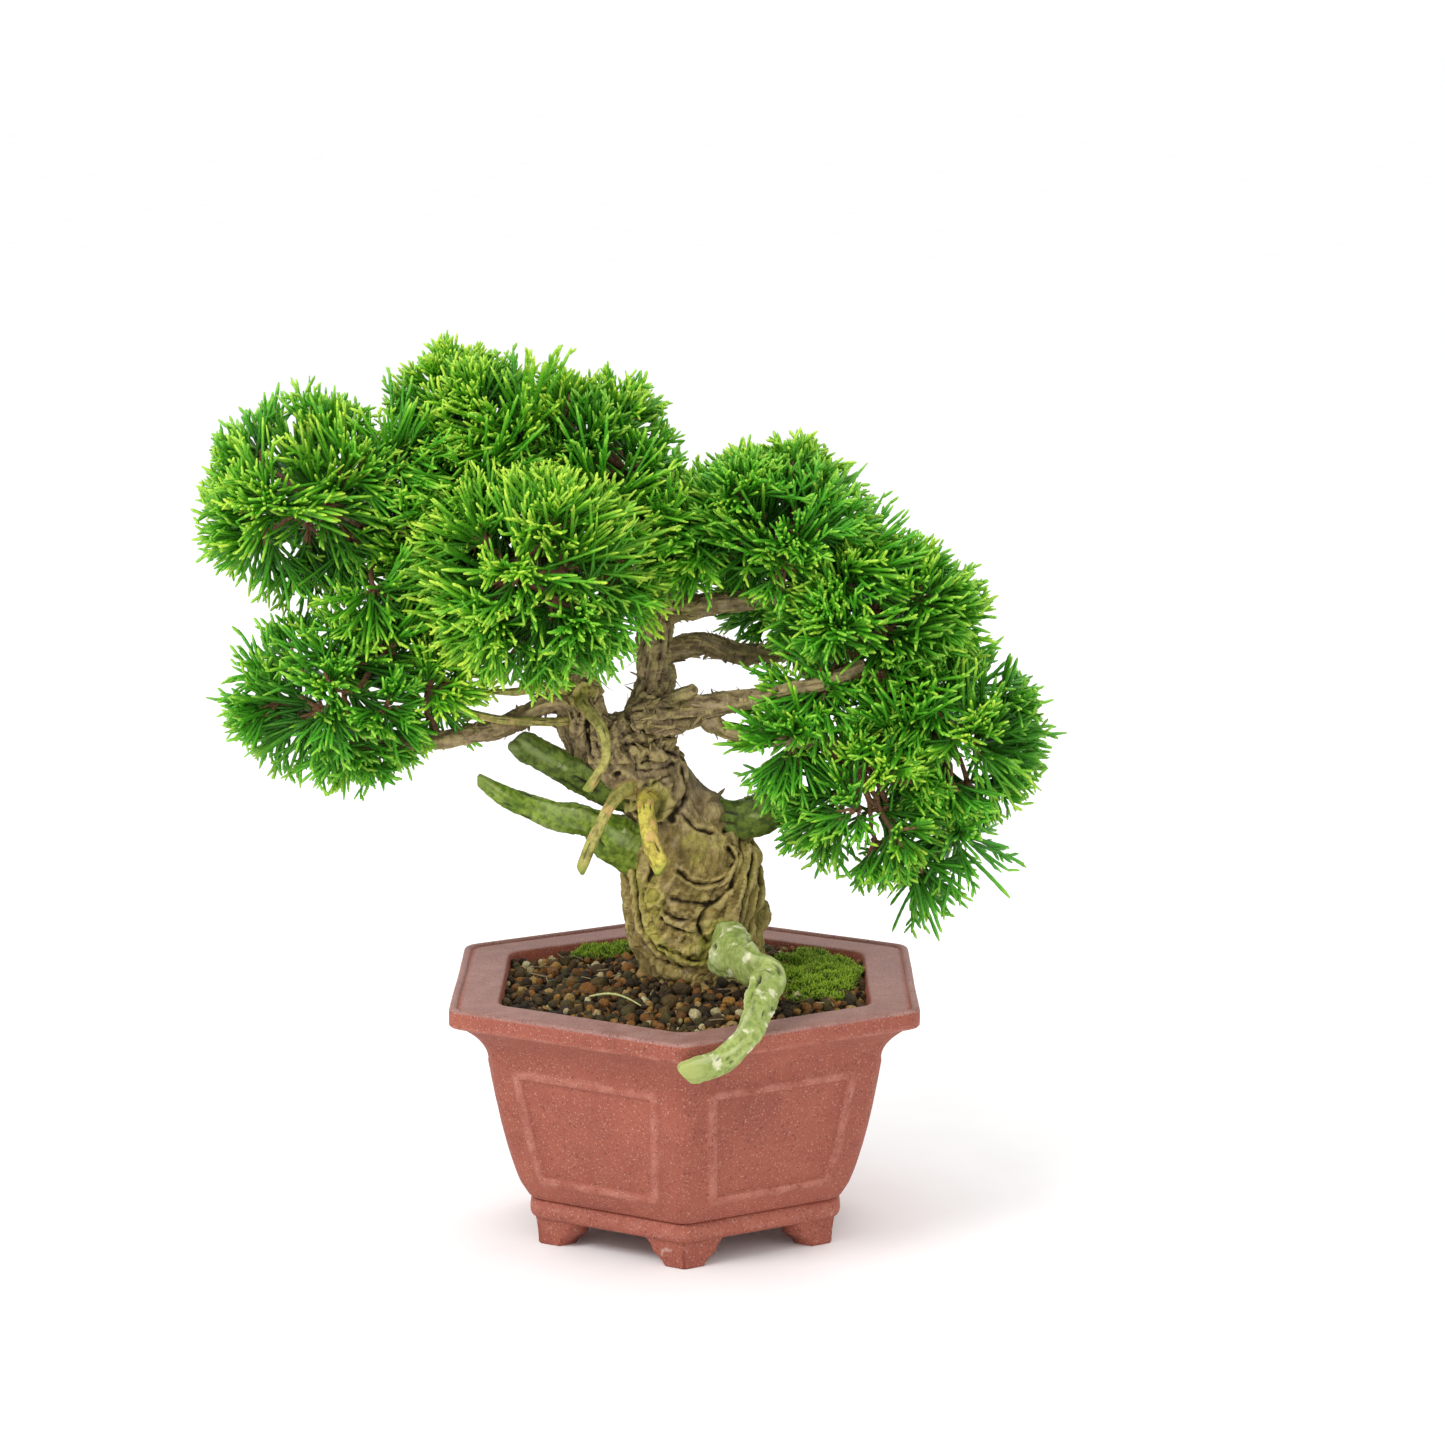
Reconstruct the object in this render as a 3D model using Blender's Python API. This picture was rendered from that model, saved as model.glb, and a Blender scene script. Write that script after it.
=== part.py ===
"""A juniper bonsai with stripped deadwood limbs, growing in a six-sided clay pot on bracket feet.

Metres, +Z up. The pot's corners point along Y and its flats along X. The pot is modelled round its own
axis and the tree is laid out from the middle of the pot's lip; at the end everything moves together so
that the origin is under the middle of the object's box, on the surface that the feet stand on.
"""

import math

import bmesh
import bpy
from mathutils import Matrix, Vector, noise

MM = 0.001
GAP = 0.3 * MM  # clearance between pieces that touch

# Pot: half sizes are measured from the axis to a flat
POT_HEIGHT = 82.5 * MM  # from the surface to the top of the lip
LIP_HALF = 75.5 * MM
LIP_BAND = 5.0 * MM
LIP_CORNER = 6.0 * MM
BEAD_HEIGHT = 0.6 * MM
BEAD_WIDTH = 2.6 * MM
NECK_HALF = 63.5 * MM
COVE_HEIGHT = 12.0 * MM
BASE_HALF = 49.4 * MM
BODY_CORNER = 7.0 * MM
MOULDING_HEIGHT = 6.4 * MM
MOULDING_REACH = 1.2 * MM
WALL = 5.0 * MM
FLOOR = 6.0 * MM
OPENING_HALF = 60.0 * MM
OPENING_CORNER = 8.0 * MM
FOOT_HEIGHT = 9.2 * MM
FOOT_TOP = 14.2 * MM  # length of each wing along its face
FOOT_BOTTOM = 7.2 * MM
FOOT_THICK = 6.0 * MM
FOOT_INSET = 2.0 * MM  # from the moulding to the foot's face
DRAIN_RADIUS = 6.0 * MM
PANEL_MARGIN_SIDE = 10.4 * MM
PANEL_MARGIN_LOW = 8.0 * MM
PANEL_MARGIN_HIGH = 2.6 * MM
PANEL_BAND = 2.1 * MM  # half the width of the raised frame
PANEL_PROUD = 0.5 * MM

# Soil
SOIL_DROP = 4.0 * MM  # below the lip, at the wall
MOUND_HEIGHT = 5.5 * MM
MOUND_SPREAD = 42.0 * MM
SCREEN_HALF = 12.0 * MM
SCREEN_THICK = 0.8 * MM
MOSS_THICK = 4.0 * MM
MOSSES = {
    # centre and radii as shares of the opening's half width, and the turn in degrees
    "moss_right": ((0.717, 0.15), (0.242, 0.533), 0),
    "moss_back_left": ((-0.408, 0.707), (0.267, 0.125), 30),
}

# Tree: laid out from the middle of the lip
TREE_SCALE = 1.0
TRUNK_GIRTH = 1.0
TRUNK_FOOT = Vector((6.5, 10.0, 0.0)) * MM
JIN_CLEAR = 3.0 * MM  # between the hanging limb and the lip's edge
LIMB_SIDES = 2  # bevel resolution of a limb
MEETING = 1.0 * MM  # limbs closer than this are cut clear of each other
PAD_SUBDIVISIONS = 3
PAD_LUMPS = 0.09

TAU = 2.0 * math.pi
COS30 = math.cos(math.pi / 6)
TAN30 = math.tan(math.pi / 6)

for old in list(bpy.data.objects):
    bpy.data.objects.remove(old, do_unlink=True)


def new_collection(name):
    made = bpy.data.collections.new(name)
    bpy.context.scene.collection.children.link(made)
    return made


PARTS = new_collection("juniper_bonsai")
CUTTERS = new_collection("cutters")


def material(name, colour, roughness):
    made = bpy.data.materials.new(name)
    made.use_nodes = True
    shader = made.node_tree.nodes["Principled BSDF"]
    shader.inputs["Base Color"].default_value = (*colour, 1.0)
    shader.inputs["Roughness"].default_value = roughness
    shader.inputs["Metallic"].default_value = 0.0
    return made


CLAY = material("red_clay", (0.39, 0.115, 0.075), 0.75)
PLASTIC = material("drain_net", (0.02, 0.02, 0.02), 0.6)
SOIL = material("akadama_soil", (0.09, 0.045, 0.02), 0.95)
MOSS = material("moss", (0.13, 0.22, 0.02), 0.9)
BARK = material("juniper_bark", (0.23, 0.17, 0.10), 0.9)
DEADWOOD = material("deadwood", (0.30, 0.38, 0.13), 0.6)
FOLIAGE = material("juniper_foliage", (0.06, 0.22, 0.02), 0.7)


def add_object(name, mesh, mat, smooth=True):
    made = bpy.data.objects.new(name, mesh)
    PARTS.objects.link(made)
    mesh.materials.clear()
    mesh.materials.append(mat)
    if smooth:
        mesh.shade_smooth()
        mesh.set_sharp_from_angle(angle=math.radians(40))
    return made


def add_cutter(name, mesh):
    made = bpy.data.objects.new(name, mesh)
    CUTTERS.objects.link(made)
    made.hide_render = True
    made.display_type = "WIRE"
    return made


def boolean(target, cutter, operation="DIFFERENCE"):
    modifier = target.modifiers.new(cutter.name, "BOOLEAN")
    modifier.operation = operation
    modifier.object = cutter


def mesh_from(name, bm):
    bmesh.ops.recalc_face_normals(bm, faces=bm.faces)
    mesh = bpy.data.meshes.new(name)
    bm.to_mesh(mesh)
    bm.free()
    return mesh


def grown(mesh, name, distance=GAP):
    """A copy of a closed mesh with every face moved out by the distance."""
    bm = bmesh.new()
    bm.from_mesh(mesh)
    bm.normal_update()
    moves = [vert.normal * (distance * vert.calc_shell_factor()) for vert in bm.verts]
    for vert, move in zip(bm.verts, moves):
        vert.co += move
    return mesh_from(name, bm)


# ---------------------------------------------------------------- rounded hexagons


def hexagon(half, corner, steps=3):
    """Points of a hexagon with rounded corners, the first corner on -Y; half is from axis to flat."""
    centre = (half - corner) / COS30
    points = []
    for side in range(6):
        middle = -math.pi / 2 + side * TAU / 6
        for step in range(steps + 1):
            angle = middle - TAU / 12 + step * TAU / 6 / steps
            points.append(
                (
                    centre * math.cos(middle) + corner * math.cos(angle),
                    centre * math.sin(middle) + corner * math.sin(angle),
                )
            )
    return points


def circle(radius, count):
    """Evenly spaced points, starting where the hexagon's points start."""
    angles = [-math.pi / 2 - TAU / 12 + TAU * (i + 0.5) / count for i in range(count)]
    return [(radius * math.cos(a), radius * math.sin(a)) for a in angles]


def loft(bm, rings, closed=False):
    """Bridges rings of points with quads; each ring is a list of (x, y, z)."""
    rows = [[bm.verts.new(p) for p in ring] for ring in rings]
    pairs = list(zip(rows, rows[1:]))
    if closed:
        pairs.append((rows[-1], rows[0]))
    for low, high in pairs:
        for i in range(len(low)):
            j = (i + 1) % len(low)
            bm.faces.new((low[i], low[j], high[j], high[i]))
    return rows


# ---------------------------------------------------------------- pot

BASE_Z = FOOT_HEIGHT
BODY_FOOT_Z = BASE_Z + MOULDING_HEIGHT
LIP_UNDER_Z = POT_HEIGHT - LIP_BAND - 1.5 * MM
NECK_Z = LIP_UNDER_Z - COVE_HEIGHT
FLOOR_Z = BASE_Z + FLOOR


def body_half(z):
    """Half width of the body's outside between the base moulding and the neck."""
    t = min(max((z - BODY_FOOT_Z) / (NECK_Z - BODY_FOOT_Z), 0.0), 1.0)
    return BASE_HALF + (NECK_HALF - BASE_HALF) * t**0.55


def inside_half(z):
    """Half width of the pot's inside: a wall's thickness in from the body, then out to the opening."""
    wall = body_half(z) - WALL
    if z <= NECK_Z:
        return wall
    t = (z - NECK_Z) / (POT_HEIGHT - NECK_Z)
    return wall + (OPENING_HALF - wall) * t


def pot_sections():
    """(half width, corner radius, z) round the pot's wall, from the underside out, up and back inside."""
    moulding_middle = BASE_Z + MOULDING_HEIGHT / 2
    lip_low = POT_HEIGHT - LIP_BAND
    bead_top = POT_HEIGHT + BEAD_HEIGHT
    rows = [
        (BASE_HALF - 1.4 * MM, BODY_CORNER, BASE_Z),
        (BASE_HALF + 0.4 * MM, BODY_CORNER, BASE_Z + 0.12 * MOULDING_HEIGHT),
        (BASE_HALF + MOULDING_REACH, BODY_CORNER, moulding_middle),
        (BASE_HALF + 0.5 * MM, BODY_CORNER, BODY_FOOT_Z - 0.12 * MOULDING_HEIGHT),
    ]
    for t in (0.0, 0.06, 0.2, 0.45, 1.0):
        z = BODY_FOOT_Z + (NECK_Z - BODY_FOOT_Z) * t
        rows.append((body_half(z), BODY_CORNER, z))
    cove_top = LIP_HALF - 4.0 * MM
    for t in (0.35, 0.7, 1.0):
        rows.append((NECK_HALF + (cove_top - NECK_HALF) * t**1.8, LIP_CORNER, NECK_Z + COVE_HEIGHT * t))
    rows += [
        (LIP_HALF - 1.2 * MM, LIP_CORNER, lip_low - 0.6 * MM),
        (LIP_HALF, LIP_CORNER, lip_low + 0.8 * MM),
        (LIP_HALF, LIP_CORNER, POT_HEIGHT - 0.4 * MM),
        (LIP_HALF - 0.6 * MM, LIP_CORNER, bead_top),
        (LIP_HALF - BEAD_WIDTH, LIP_CORNER, bead_top),
        (LIP_HALF - BEAD_WIDTH - 0.5 * MM, LIP_CORNER, POT_HEIGHT),
        (OPENING_HALF + 0.6 * MM, OPENING_CORNER, POT_HEIGHT),
        (inside_half(POT_HEIGHT - 0.7 * MM), OPENING_CORNER, POT_HEIGHT - 0.7 * MM),
        (inside_half(NECK_Z), OPENING_CORNER, NECK_Z),
    ]
    for t in (0.6, 0.35, 0.2):
        z = FLOOR_Z + (NECK_Z - FLOOR_Z) * t
        rows.append((inside_half(z), OPENING_CORNER, z))
    rows.append((inside_half(FLOOR_Z + 3.0 * MM), OPENING_CORNER, FLOOR_Z + 3.0 * MM))
    rows.append((inside_half(FLOOR_Z + 3.0 * MM) - 3.0 * MM, OPENING_CORNER, FLOOR_Z))
    return rows


def pot_body():
    rings = [[(*p, z) for p in hexagon(half, corner)] for half, corner, z in pot_sections()]
    drain = circle(DRAIN_RADIUS, len(rings[0]))
    rings.append([(*p, FLOOR_Z) for p in drain])
    rings.append([(*p, BASE_Z) for p in drain])
    bm = bmesh.new()
    loft(bm, rings, closed=True)
    return mesh_from("pot", bm)


FOOT_HALF = BASE_HALF - FOOT_INSET + MOULDING_REACH - 0.6 * MM


def foot_ring(wing, z):
    """The plan of one bracket foot at the -Y corner: a V whose arms run along the two faces."""
    outer = FOOT_HALF / COS30
    inner = (FOOT_HALF - FOOT_THICK) / COS30
    along = Vector((COS30, 0.5))
    inward = Vector((-0.5, COS30)) * FOOT_THICK
    front = Vector((0.0, -outer))
    blunt = 1.6 * MM
    right = [front + along * blunt, front + along * wing, front + along * wing + inward]
    left = [Vector((-p.x, p.y)) for p in reversed(right)]
    ring = right + [Vector((0.0, -inner))] + left + [front + Vector((0.0, 0.5 * MM))]
    return [(p.x, p.y, z) for p in ring]


def foot_mesh():
    spread = FOOT_TOP - FOOT_BOTTOM
    outline = ((0.0, 0.0), (0.12, 0.18), (0.45, 0.40), (0.90, 0.62), (1.0, 0.80))
    rings = [foot_ring(FOOT_BOTTOM + share * spread, rise * FOOT_HEIGHT) for share, rise in outline]
    rings.append(foot_ring(FOOT_TOP, FOOT_HEIGHT + FLOOR / 3))
    bm = bmesh.new()
    rows = loft(bm, rings)
    bm.faces.new(list(reversed(rows[0])))
    bm.faces.new(rows[-1])
    one = mesh_from("foot", bm)
    feet = bmesh.new()
    for side in range(6):
        first = len(feet.verts)
        feet.from_mesh(one)
        feet.verts.ensure_lookup_table()
        turn = Matrix.Rotation(side * TAU / 6, 3, "Z")
        bmesh.ops.rotate(feet, verts=feet.verts[first:], cent=(0, 0, 0), matrix=turn)
    bpy.data.meshes.remove(one)
    return mesh_from("feet", feet)


def panel_frame_points(side):
    """The closed run of one raised frame, lying on the body's curved face."""
    low = BODY_FOOT_Z + PANEL_MARGIN_LOW
    high = NECK_Z - PANEL_MARGIN_HIGH
    heights = [low + (high - low) * t for t in (0.0, 0.06, 0.35, 0.94, 1.0)]
    turn = Matrix.Rotation(side * TAU / 6, 3, "Z")

    def point(sign, z, cut):
        along = body_half(z) * TAN30 - PANEL_MARGIN_SIDE - cut
        depth = body_half(z) + PANEL_PROUD - PANEL_BAND
        facing = Matrix.Rotation(TAU / 12, 3, "Z")
        return turn @ facing @ Vector((sign * along, -depth, z))

    corner = 1.5 * MM
    cuts = [corner] + [0.0] * (len(heights) - 2) + [corner]
    right = [point(1, z, cut) for z, cut in zip(heights, cuts)]
    left = [point(-1, z, cut) for z, cut in zip(heights, cuts)]
    return right + left[::-1]


def tube(name, points, radii, sides=LIMB_SIDES, cyclic=False):
    """A solid tube through the points, made from a curve with a bevel; sides is its bevel resolution."""
    curve = bpy.data.curves.new(name, "CURVE")
    curve.dimensions = "3D"
    curve.bevel_depth = 1.0
    curve.bevel_resolution = sides
    curve.use_fill_caps = not cyclic
    spline = curve.splines.new("POLY")
    spline.points.add(len(points) - 1)
    for place, point, radius in zip(spline.points, points, radii):
        place.co = (*point, 1.0)
        place.radius = radius
    spline.use_cyclic_u = cyclic
    holder = bpy.data.objects.new(name, curve)
    CUTTERS.objects.link(holder)
    graph = bpy.context.evaluated_depsgraph_get()
    mesh = bpy.data.meshes.new_from_object(holder.evaluated_get(graph))
    bpy.data.objects.remove(holder)
    bpy.data.curves.remove(curve)
    bm = bmesh.new()
    bm.from_mesh(mesh)
    bmesh.ops.remove_doubles(bm, verts=bm.verts, dist=0.001 * MM)
    bpy.data.meshes.remove(mesh)
    return mesh_from(name, bm)


def build_pot():
    pot = add_object("pot", pot_body(), CLAY)
    boolean(pot, add_cutter("feet_union", foot_mesh()), "UNION")
    for side in range(6):
        points = panel_frame_points(side)
        frame = tube(f"panel_frame_{side}", points, [PANEL_BAND] * len(points), sides=1, cyclic=True)
        boolean(pot, add_cutter(f"panel_frame_{side}", frame), "UNION")
    return pot


# ---------------------------------------------------------------- soil, drain screen and moss


def soil_height(x, y):
    """The surface of the soil: below the lip at the wall and heaped round the trunk."""
    away = math.hypot(x - TRUNK_FOOT.x, y - TRUNK_FOOT.y)
    return POT_HEIGHT - SOIL_DROP + MOUND_HEIGHT * math.exp(-((away / MOUND_SPREAD) ** 2))


def build_screen():
    bm = bmesh.new()
    bmesh.ops.create_cube(bm, size=1.0)
    bmesh.ops.scale(bm, verts=bm.verts, vec=(2 * SCREEN_HALF, 2 * SCREEN_HALF, SCREEN_THICK))
    bmesh.ops.translate(bm, verts=bm.verts, vec=(0, 0, FLOOR_Z + GAP + SCREEN_THICK / 2))
    return add_object("drainage_screen", mesh_from("drainage_screen", bm), PLASTIC, smooth=False)


def build_soil(trunk_cutter):
    bottom = FLOOR_Z + SCREEN_THICK + 2 * GAP
    edge = POT_HEIGHT - SOIL_DROP - 1.0 * MM
    heights = [bottom, bottom + 3.0 * MM]
    heights += [bottom + (edge - bottom) * t for t in (0.3, 0.7)]
    heights.append(edge)
    rings = []
    for z in heights:
        half = min(inside_half(z), inside_half(z - 1.0 * MM)) - 2 * GAP
        if z == bottom:
            half -= 3.0 * MM
        rings.append([(x, y, z) for x, y in hexagon(half, OPENING_CORNER)])
    rim = hexagon(inside_half(edge) - 2 * GAP, OPENING_CORNER)
    for share in (0.97, 0.75, 0.5, 0.25):
        rings.append([(x * share, y * share, soil_height(x * share, y * share)) for x, y in rim])
    bm = bmesh.new()
    rows = loft(bm, rings)
    bm.faces.new(list(reversed(rows[0])))
    peak = bm.verts.new((0.0, 0.0, soil_height(0.0, 0.0)))
    for i, vert in enumerate(rows[-1]):
        bm.faces.new((vert, rows[-1][(i + 1) % len(rows[-1])], peak))
    soil = add_object("soil", mesh_from("soil", bm), SOIL)
    boolean(soil, trunk_cutter)
    return soil


def build_moss(name, centre, radii, turn, trunk_cutter):
    """A low cushion that follows the soil's surface, a gap above it."""
    sides = 16
    shares = (1.0, 0.85, 0.6, 0.3)
    lift = 0.7 * MM
    turned = Matrix.Rotation(math.radians(turn), 2)
    outline = [
        Vector((radii[0] * math.cos(a), radii[1] * math.sin(a))) * (1 + 0.06 * math.sin(5 * a))
        for a in (TAU * i / sides for i in range(sides))
    ]

    def ring(share, thick):
        spots = [Vector(centre) + turned @ (p * share) for p in outline]
        return [(p.x, p.y, soil_height(p.x, p.y) + lift + thick) for p in spots]

    under = [ring(share, 0.0) for share in reversed(shares)]
    over = [ring(share, MOSS_THICK * math.sqrt(1 - 0.9 * share**2)) for share in shares]
    bm = bmesh.new()
    rows = loft(bm, under + over)
    for row, thick in ((rows[0], 0.0), (rows[-1], MOSS_THICK)):
        spot = Vector(centre)
        middle = bm.verts.new((spot.x, spot.y, soil_height(spot.x, spot.y) + lift + thick))
        for i, vert in enumerate(row):
            bm.faces.new((vert, row[(i + 1) % len(row)], middle))
    moss = add_object(name, mesh_from(name, bm), MOSS)
    boolean(moss, trunk_cutter)
    return moss


# ---------------------------------------------------------------- wood

# Each limb is (x, y, z, radius) in millimetres from the middle of the lip, from its root to its tip
TRUNK = [
    (6, 10, -36, 12), (6, 10, -18, 16), (7.6, 10, 0, 18), (5, 10, 9, 20.6), (3.6, 9, 19, 22.8),
    (1.5, 8, 35, 23), (-0.6, 7, 45, 20.5), (-4.6, 6, 54.5, 14.6), (-11, 5, 64, 13.8), (-18, 3, 72.4, 13.6),
    (-24, 2, 80, 12.5), (-26, 2, 86, 9),
]
STEMS = {
    "stem_left": [
        (-30, 2, 79, 8), (-34.5, 1, 90, 7.2), (-34.6, 2, 97, 6), (-35, 3, 104, 5.2), (-38, 5, 120, 4.8),
        (-43, 7, 140, 4), (-48, 9, 160, 3.2), (-50, 10, 176, 2.4),
    ],
    "stem_right": [
        (-13, 4, 74, 8), (-10, 6, 86, 7.4), (-10, 8, 98, 5.6), (-10.2, 8, 110, 5.1), (-9, 8, 125, 4.6),
        (0, 8, 138, 4), (13, 8, 150, 3.2), (22, 8, 158, 2.6),
    ],
}
BRANCHES = {
    "branch_left_low": [
        (-30, 0, 86, 4.6), (-42, -4, 93.5, 3.3), (-54, -7, 88, 3), (-66, -10, 84.5, 2.8), (-92, -14, 81.5, 2.4),
        (-103, -15, 86, 2), (-113, -15, 94, 1.6),
    ],
    "branch_left_high": [
        (-37, 4, 117, 3.6), (-60, 6, 126, 2.8), (-85, 7, 138, 2.4), (-104, 6, 148, 2), (-115, 5, 158, 1.6),
    ],
    "branch_right_low": [
        (-9, -2, 86, 5), (5, -8, 92, 3.2), (13, -11, 95, 2.9), (23, -14, 96.5, 2.6), (44, -18, 102, 2.2),
        (58, -18, 108, 1.8),
    ],
    "branch_right_fork": [
        (6, -8, 91, 2.6), (10, -11, 87, 2.5), (21, -17, 84.5, 2.3), (37, -20, 84, 2), (52, -18, 82, 1.7),
    ],
    "branch_right_mid": [
        (-10, 8, 107, 3.6), (5, 12, 109.5, 3), (20, 17, 105.5, 2.6), (38, 20, 106.5, 2.2), (52, 20, 112, 1.8),
    ],
    "branch_right_high": [
        (-9, 8, 120, 3.6), (5, 6, 123.5, 2.8), (24, 4, 125.5, 2.5), (44, 3, 129, 2.1), (58, 2, 131, 1.7),
    ],
    "branch_back": [
        (-9, 8, 121, 3.4), (-9, 24, 127, 2.6), (-14, 38, 133, 2.1), (-20, 48, 139, 1.7),
    ],
}
DEADWOOD_LIMBS = {
    "jin_left_long": [
        (-6, 6, 44, 7), (-20, 1, 48.5, 6.4), (-31, -6, 55.5, 4.2), (-44, -10, 58, 3.8), (-56, -12, 62.5, 3.1),
        (-67, -14, 70, 1.4),
    ],
    "jin_left_high": [
        (-14, 2, 59, 5.4), (-27, -5, 65, 5), (-38.5, -9, 71.5, 4.7), (-48, -11, 77.5, 4.4),
        (-56, -12, 83, 3.2),
    ],
    "jin_right": [
        (0, 5, 51, 5), (10, 2, 54.5, 4.8), (20, 0, 53.6, 5.4), (27, -1, 57, 5.6), (29, -2, 64, 5),
        (28, -2, 72, 3.2),
    ],
    "jin_stub_front": [(-11, 0, 64, 3.6), (-13, -18, 61.5, 3.2), (-10.5, -26, 51, 3), (-6, -29, 41.5, 2.8)],
    "jin_thin_left": [(-12, -2, 66, 2.4), (-21, -16, 65.5, 1.8), (-28, -25, 55.5, 1.6), (-34, -29, 41.5, 1.2)],
    "jin_bent": [
        (-34, 0, 95, 2.2), (-33, -11, 93.5, 1.8), (-27, -19, 88.5, 1.6), (-25, -23, 79.5, 1.5),
        (-28, -25, 73.5, 1.4), (-32, -25, 67.5, 1.1),
    ],
    "twig_bare_low": [(-35, -1, 88, 2), (-41, -8, 87.5, 1.5), (-60, -14, 89.5, 1.3), (-74, -18, 94, 0.9)],
    "twig_bare_high": [(-35, 0, 96, 2), (-45, -10, 99.5, 1.5), (-54, -14, 98.5, 1.2), (-63, -16, 99, 0.9)],
    "stub_cut": [(-9, 2, 90, 2.6), (-3, -7, 95.5, 2), (3, -11, 99, 1.6)],
}
# The long stripped limb on the front starts low on the trunk and hangs over the lip
HANGING_ROOT = [
    (11, -2, 16, 6), (13.4, -17, 15.8, 6.2), (16, -29, 14.8, 6), (21.6, -41, 14.2, 5.4), (25, -52, 14.6, 4.8),
]
HANGING_OVER = (25, 8.75, 13, 4.2)  # over the lip: x, how far inside its edge, z and radius
HANGING_TIP = [(20.5, 3.2, 3.8), (12.5, -4, 3.5), (-2, -7, 2.4)]


def lip_edge(x):
    """How far towards -Y the lip reaches at this x."""
    return -(LIP_HALF / COS30 - abs(x) * TAN30)


def hanging_limb():
    """The limb that comes down over the lip, however large the tree and the pot are."""
    size = MM * TREE_SCALE
    points = list(HANGING_ROOT)
    x, inside, z, radius = HANGING_OVER
    points.append((x, (lip_edge(x * size) + inside * MM) / size, z, radius))
    for x, z, radius in HANGING_TIP:
        y = (lip_edge(x * size) - JIN_CLEAR) / size - radius
        points.append((x, y, z, radius))
    return points


def spread(points, per_span=3):
    """A smooth run through (x, y, z, radius) points: Catmull-Rom, scaled to the tree."""
    size = MM * TREE_SCALE
    keys = [Vector((*p[:3], p[3])) * size for p in points]
    keys = [2 * keys[0] - keys[1]] + keys + [2 * keys[-1] - keys[-2]]
    run = []
    for a, b, c, d in zip(keys, keys[1:], keys[2:], keys[3:]):
        for step in range(per_span):
            t = step / per_span
            run.append(
                0.5 * (2 * b + (c - a) * t + (2 * a - 5 * b + 4 * c - d) * t**2 + (3 * b - a - 3 * c + d) * t**3)
            )
    run.append(keys[-2])
    return run


def lifted(run, girth=1.0):
    """A run as (place, radius) pairs in the pot's own frame."""
    lift = Vector((0.0, 0.0, POT_HEIGHT))
    return [(Vector(p[:3]) + lift, p[3] * girth) for p in run]


def limb_mesh(name, points, girth=1.0, per_span=3, sides=LIMB_SIDES):
    run = lifted(spread(points, per_span), girth)
    return tube(name, [place for place, _ in run], [radius for _, radius in run], sides)


def runs_meet(first, second):
    return any((a - b).length < ra + rb + MEETING for a, ra in first for b, rb in second)


def build_limbs():
    """The trunk and every limb; each is cut a gap clear of the thicker wood that it grows from."""
    groups = [
        (BARK, {"trunk": TRUNK}, {"girth": TRUNK_GIRTH, "sides": 4}),
        (BARK, STEMS, {}),
        (BARK, BRANCHES, {"per_span": 2}),
        (DEADWOOD, DEADWOOD_LIMBS, {"per_span": 2}),
        (DEADWOOD, {"jin_hanging": hanging_limb()}, {}),
    ]
    limbs = {}
    for mat, group, shape in groups:
        for name, points in group.items():
            made = add_object(name, limb_mesh(name, points, **shape), mat)
            run = lifted(spread(points, 6), shape.get("girth", 1.0))
            for cutter, other in limbs.values():
                if runs_meet(run, other):
                    boolean(made, cutter)
            cutter = add_cutter(f"{name}_cutter", grown(made.data, f"{name}_cutter"))
            limbs[name] = (cutter, run)
    return limbs


# ---------------------------------------------------------------- foliage

# Each pad is its centre and its three half sizes, in millimetres from the middle of the lip
PADS = {
    "foliage_left_low": ((-113, -12, 96), (35, 30, 29)),
    "foliage_left_outer": ((-121, 4, 157), (37, 32, 36)),
    "foliage_left_inner": ((-82, 26, 124), (24, 22, 24)),
    "foliage_top_left": ((-72, 14, 180), (27, 27, 25)),
    "foliage_top": ((-32, 12, 172), (30, 28, 27)),
    "foliage_front": ((-46, -26, 137), (43, 27, 37)),
    "foliage_right_top": ((28, 2, 150), (37, 32, 26)),
    "foliage_right_mid": ((63, -2, 120), (39, 32, 28)),
    "foliage_right_outer": ((88, -2, 83), (31, 30, 35)),
    "foliage_right_hang": ((59, -18, 64), (33, 24, 34)),
    "foliage_back": ((-22, 50, 140), (38, 24, 32)),
    "foliage_back_right": ((42, 46, 122), (34, 22, 28)),
}

def pad_mesh(name, centre, halves, seed):
    """A lumpy ellipsoid: the outer shape of a tuft of shoots."""
    bm = bmesh.new()
    bmesh.ops.create_icosphere(bm, subdivisions=PAD_SUBDIVISIONS, radius=1.0)
    size = MM * TREE_SCALE
    middle = Vector(centre) * size + Vector((0.0, 0.0, POT_HEIGHT))
    for vert in bm.verts:
        lump = 1.0 + PAD_LUMPS * noise.noise(vert.co * 1.9 + Vector((7.3, 1.7, 3.1)) * seed)
        reach = Vector(c * h for c, h in zip(vert.co, halves)) * (size * lump)
        vert.co = middle + reach
    return mesh_from(name, bm)


def pads_meet(first, second):
    (a, ra), (b, rb) = PADS[first], PADS[second]
    away = Vector(a) - Vector(b)
    scaled = Vector(d / (p + q) for d, p, q in zip(away, ra, rb))
    return scaled.length < 1.0 + PAD_LUMPS


def limb_enters(name, run):
    centre, halves = PADS[name]
    size = MM * TREE_SCALE
    middle = Vector(centre) * size + Vector((0.0, 0.0, POT_HEIGHT))
    grown = [h * size * (1.0 + PAD_LUMPS) for h in halves]
    return any(
        Vector(max(abs(d) - radius, 0.0) / h for d, h in zip(place - middle, grown)).length < 1.0
        for place, radius in run
    )


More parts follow.
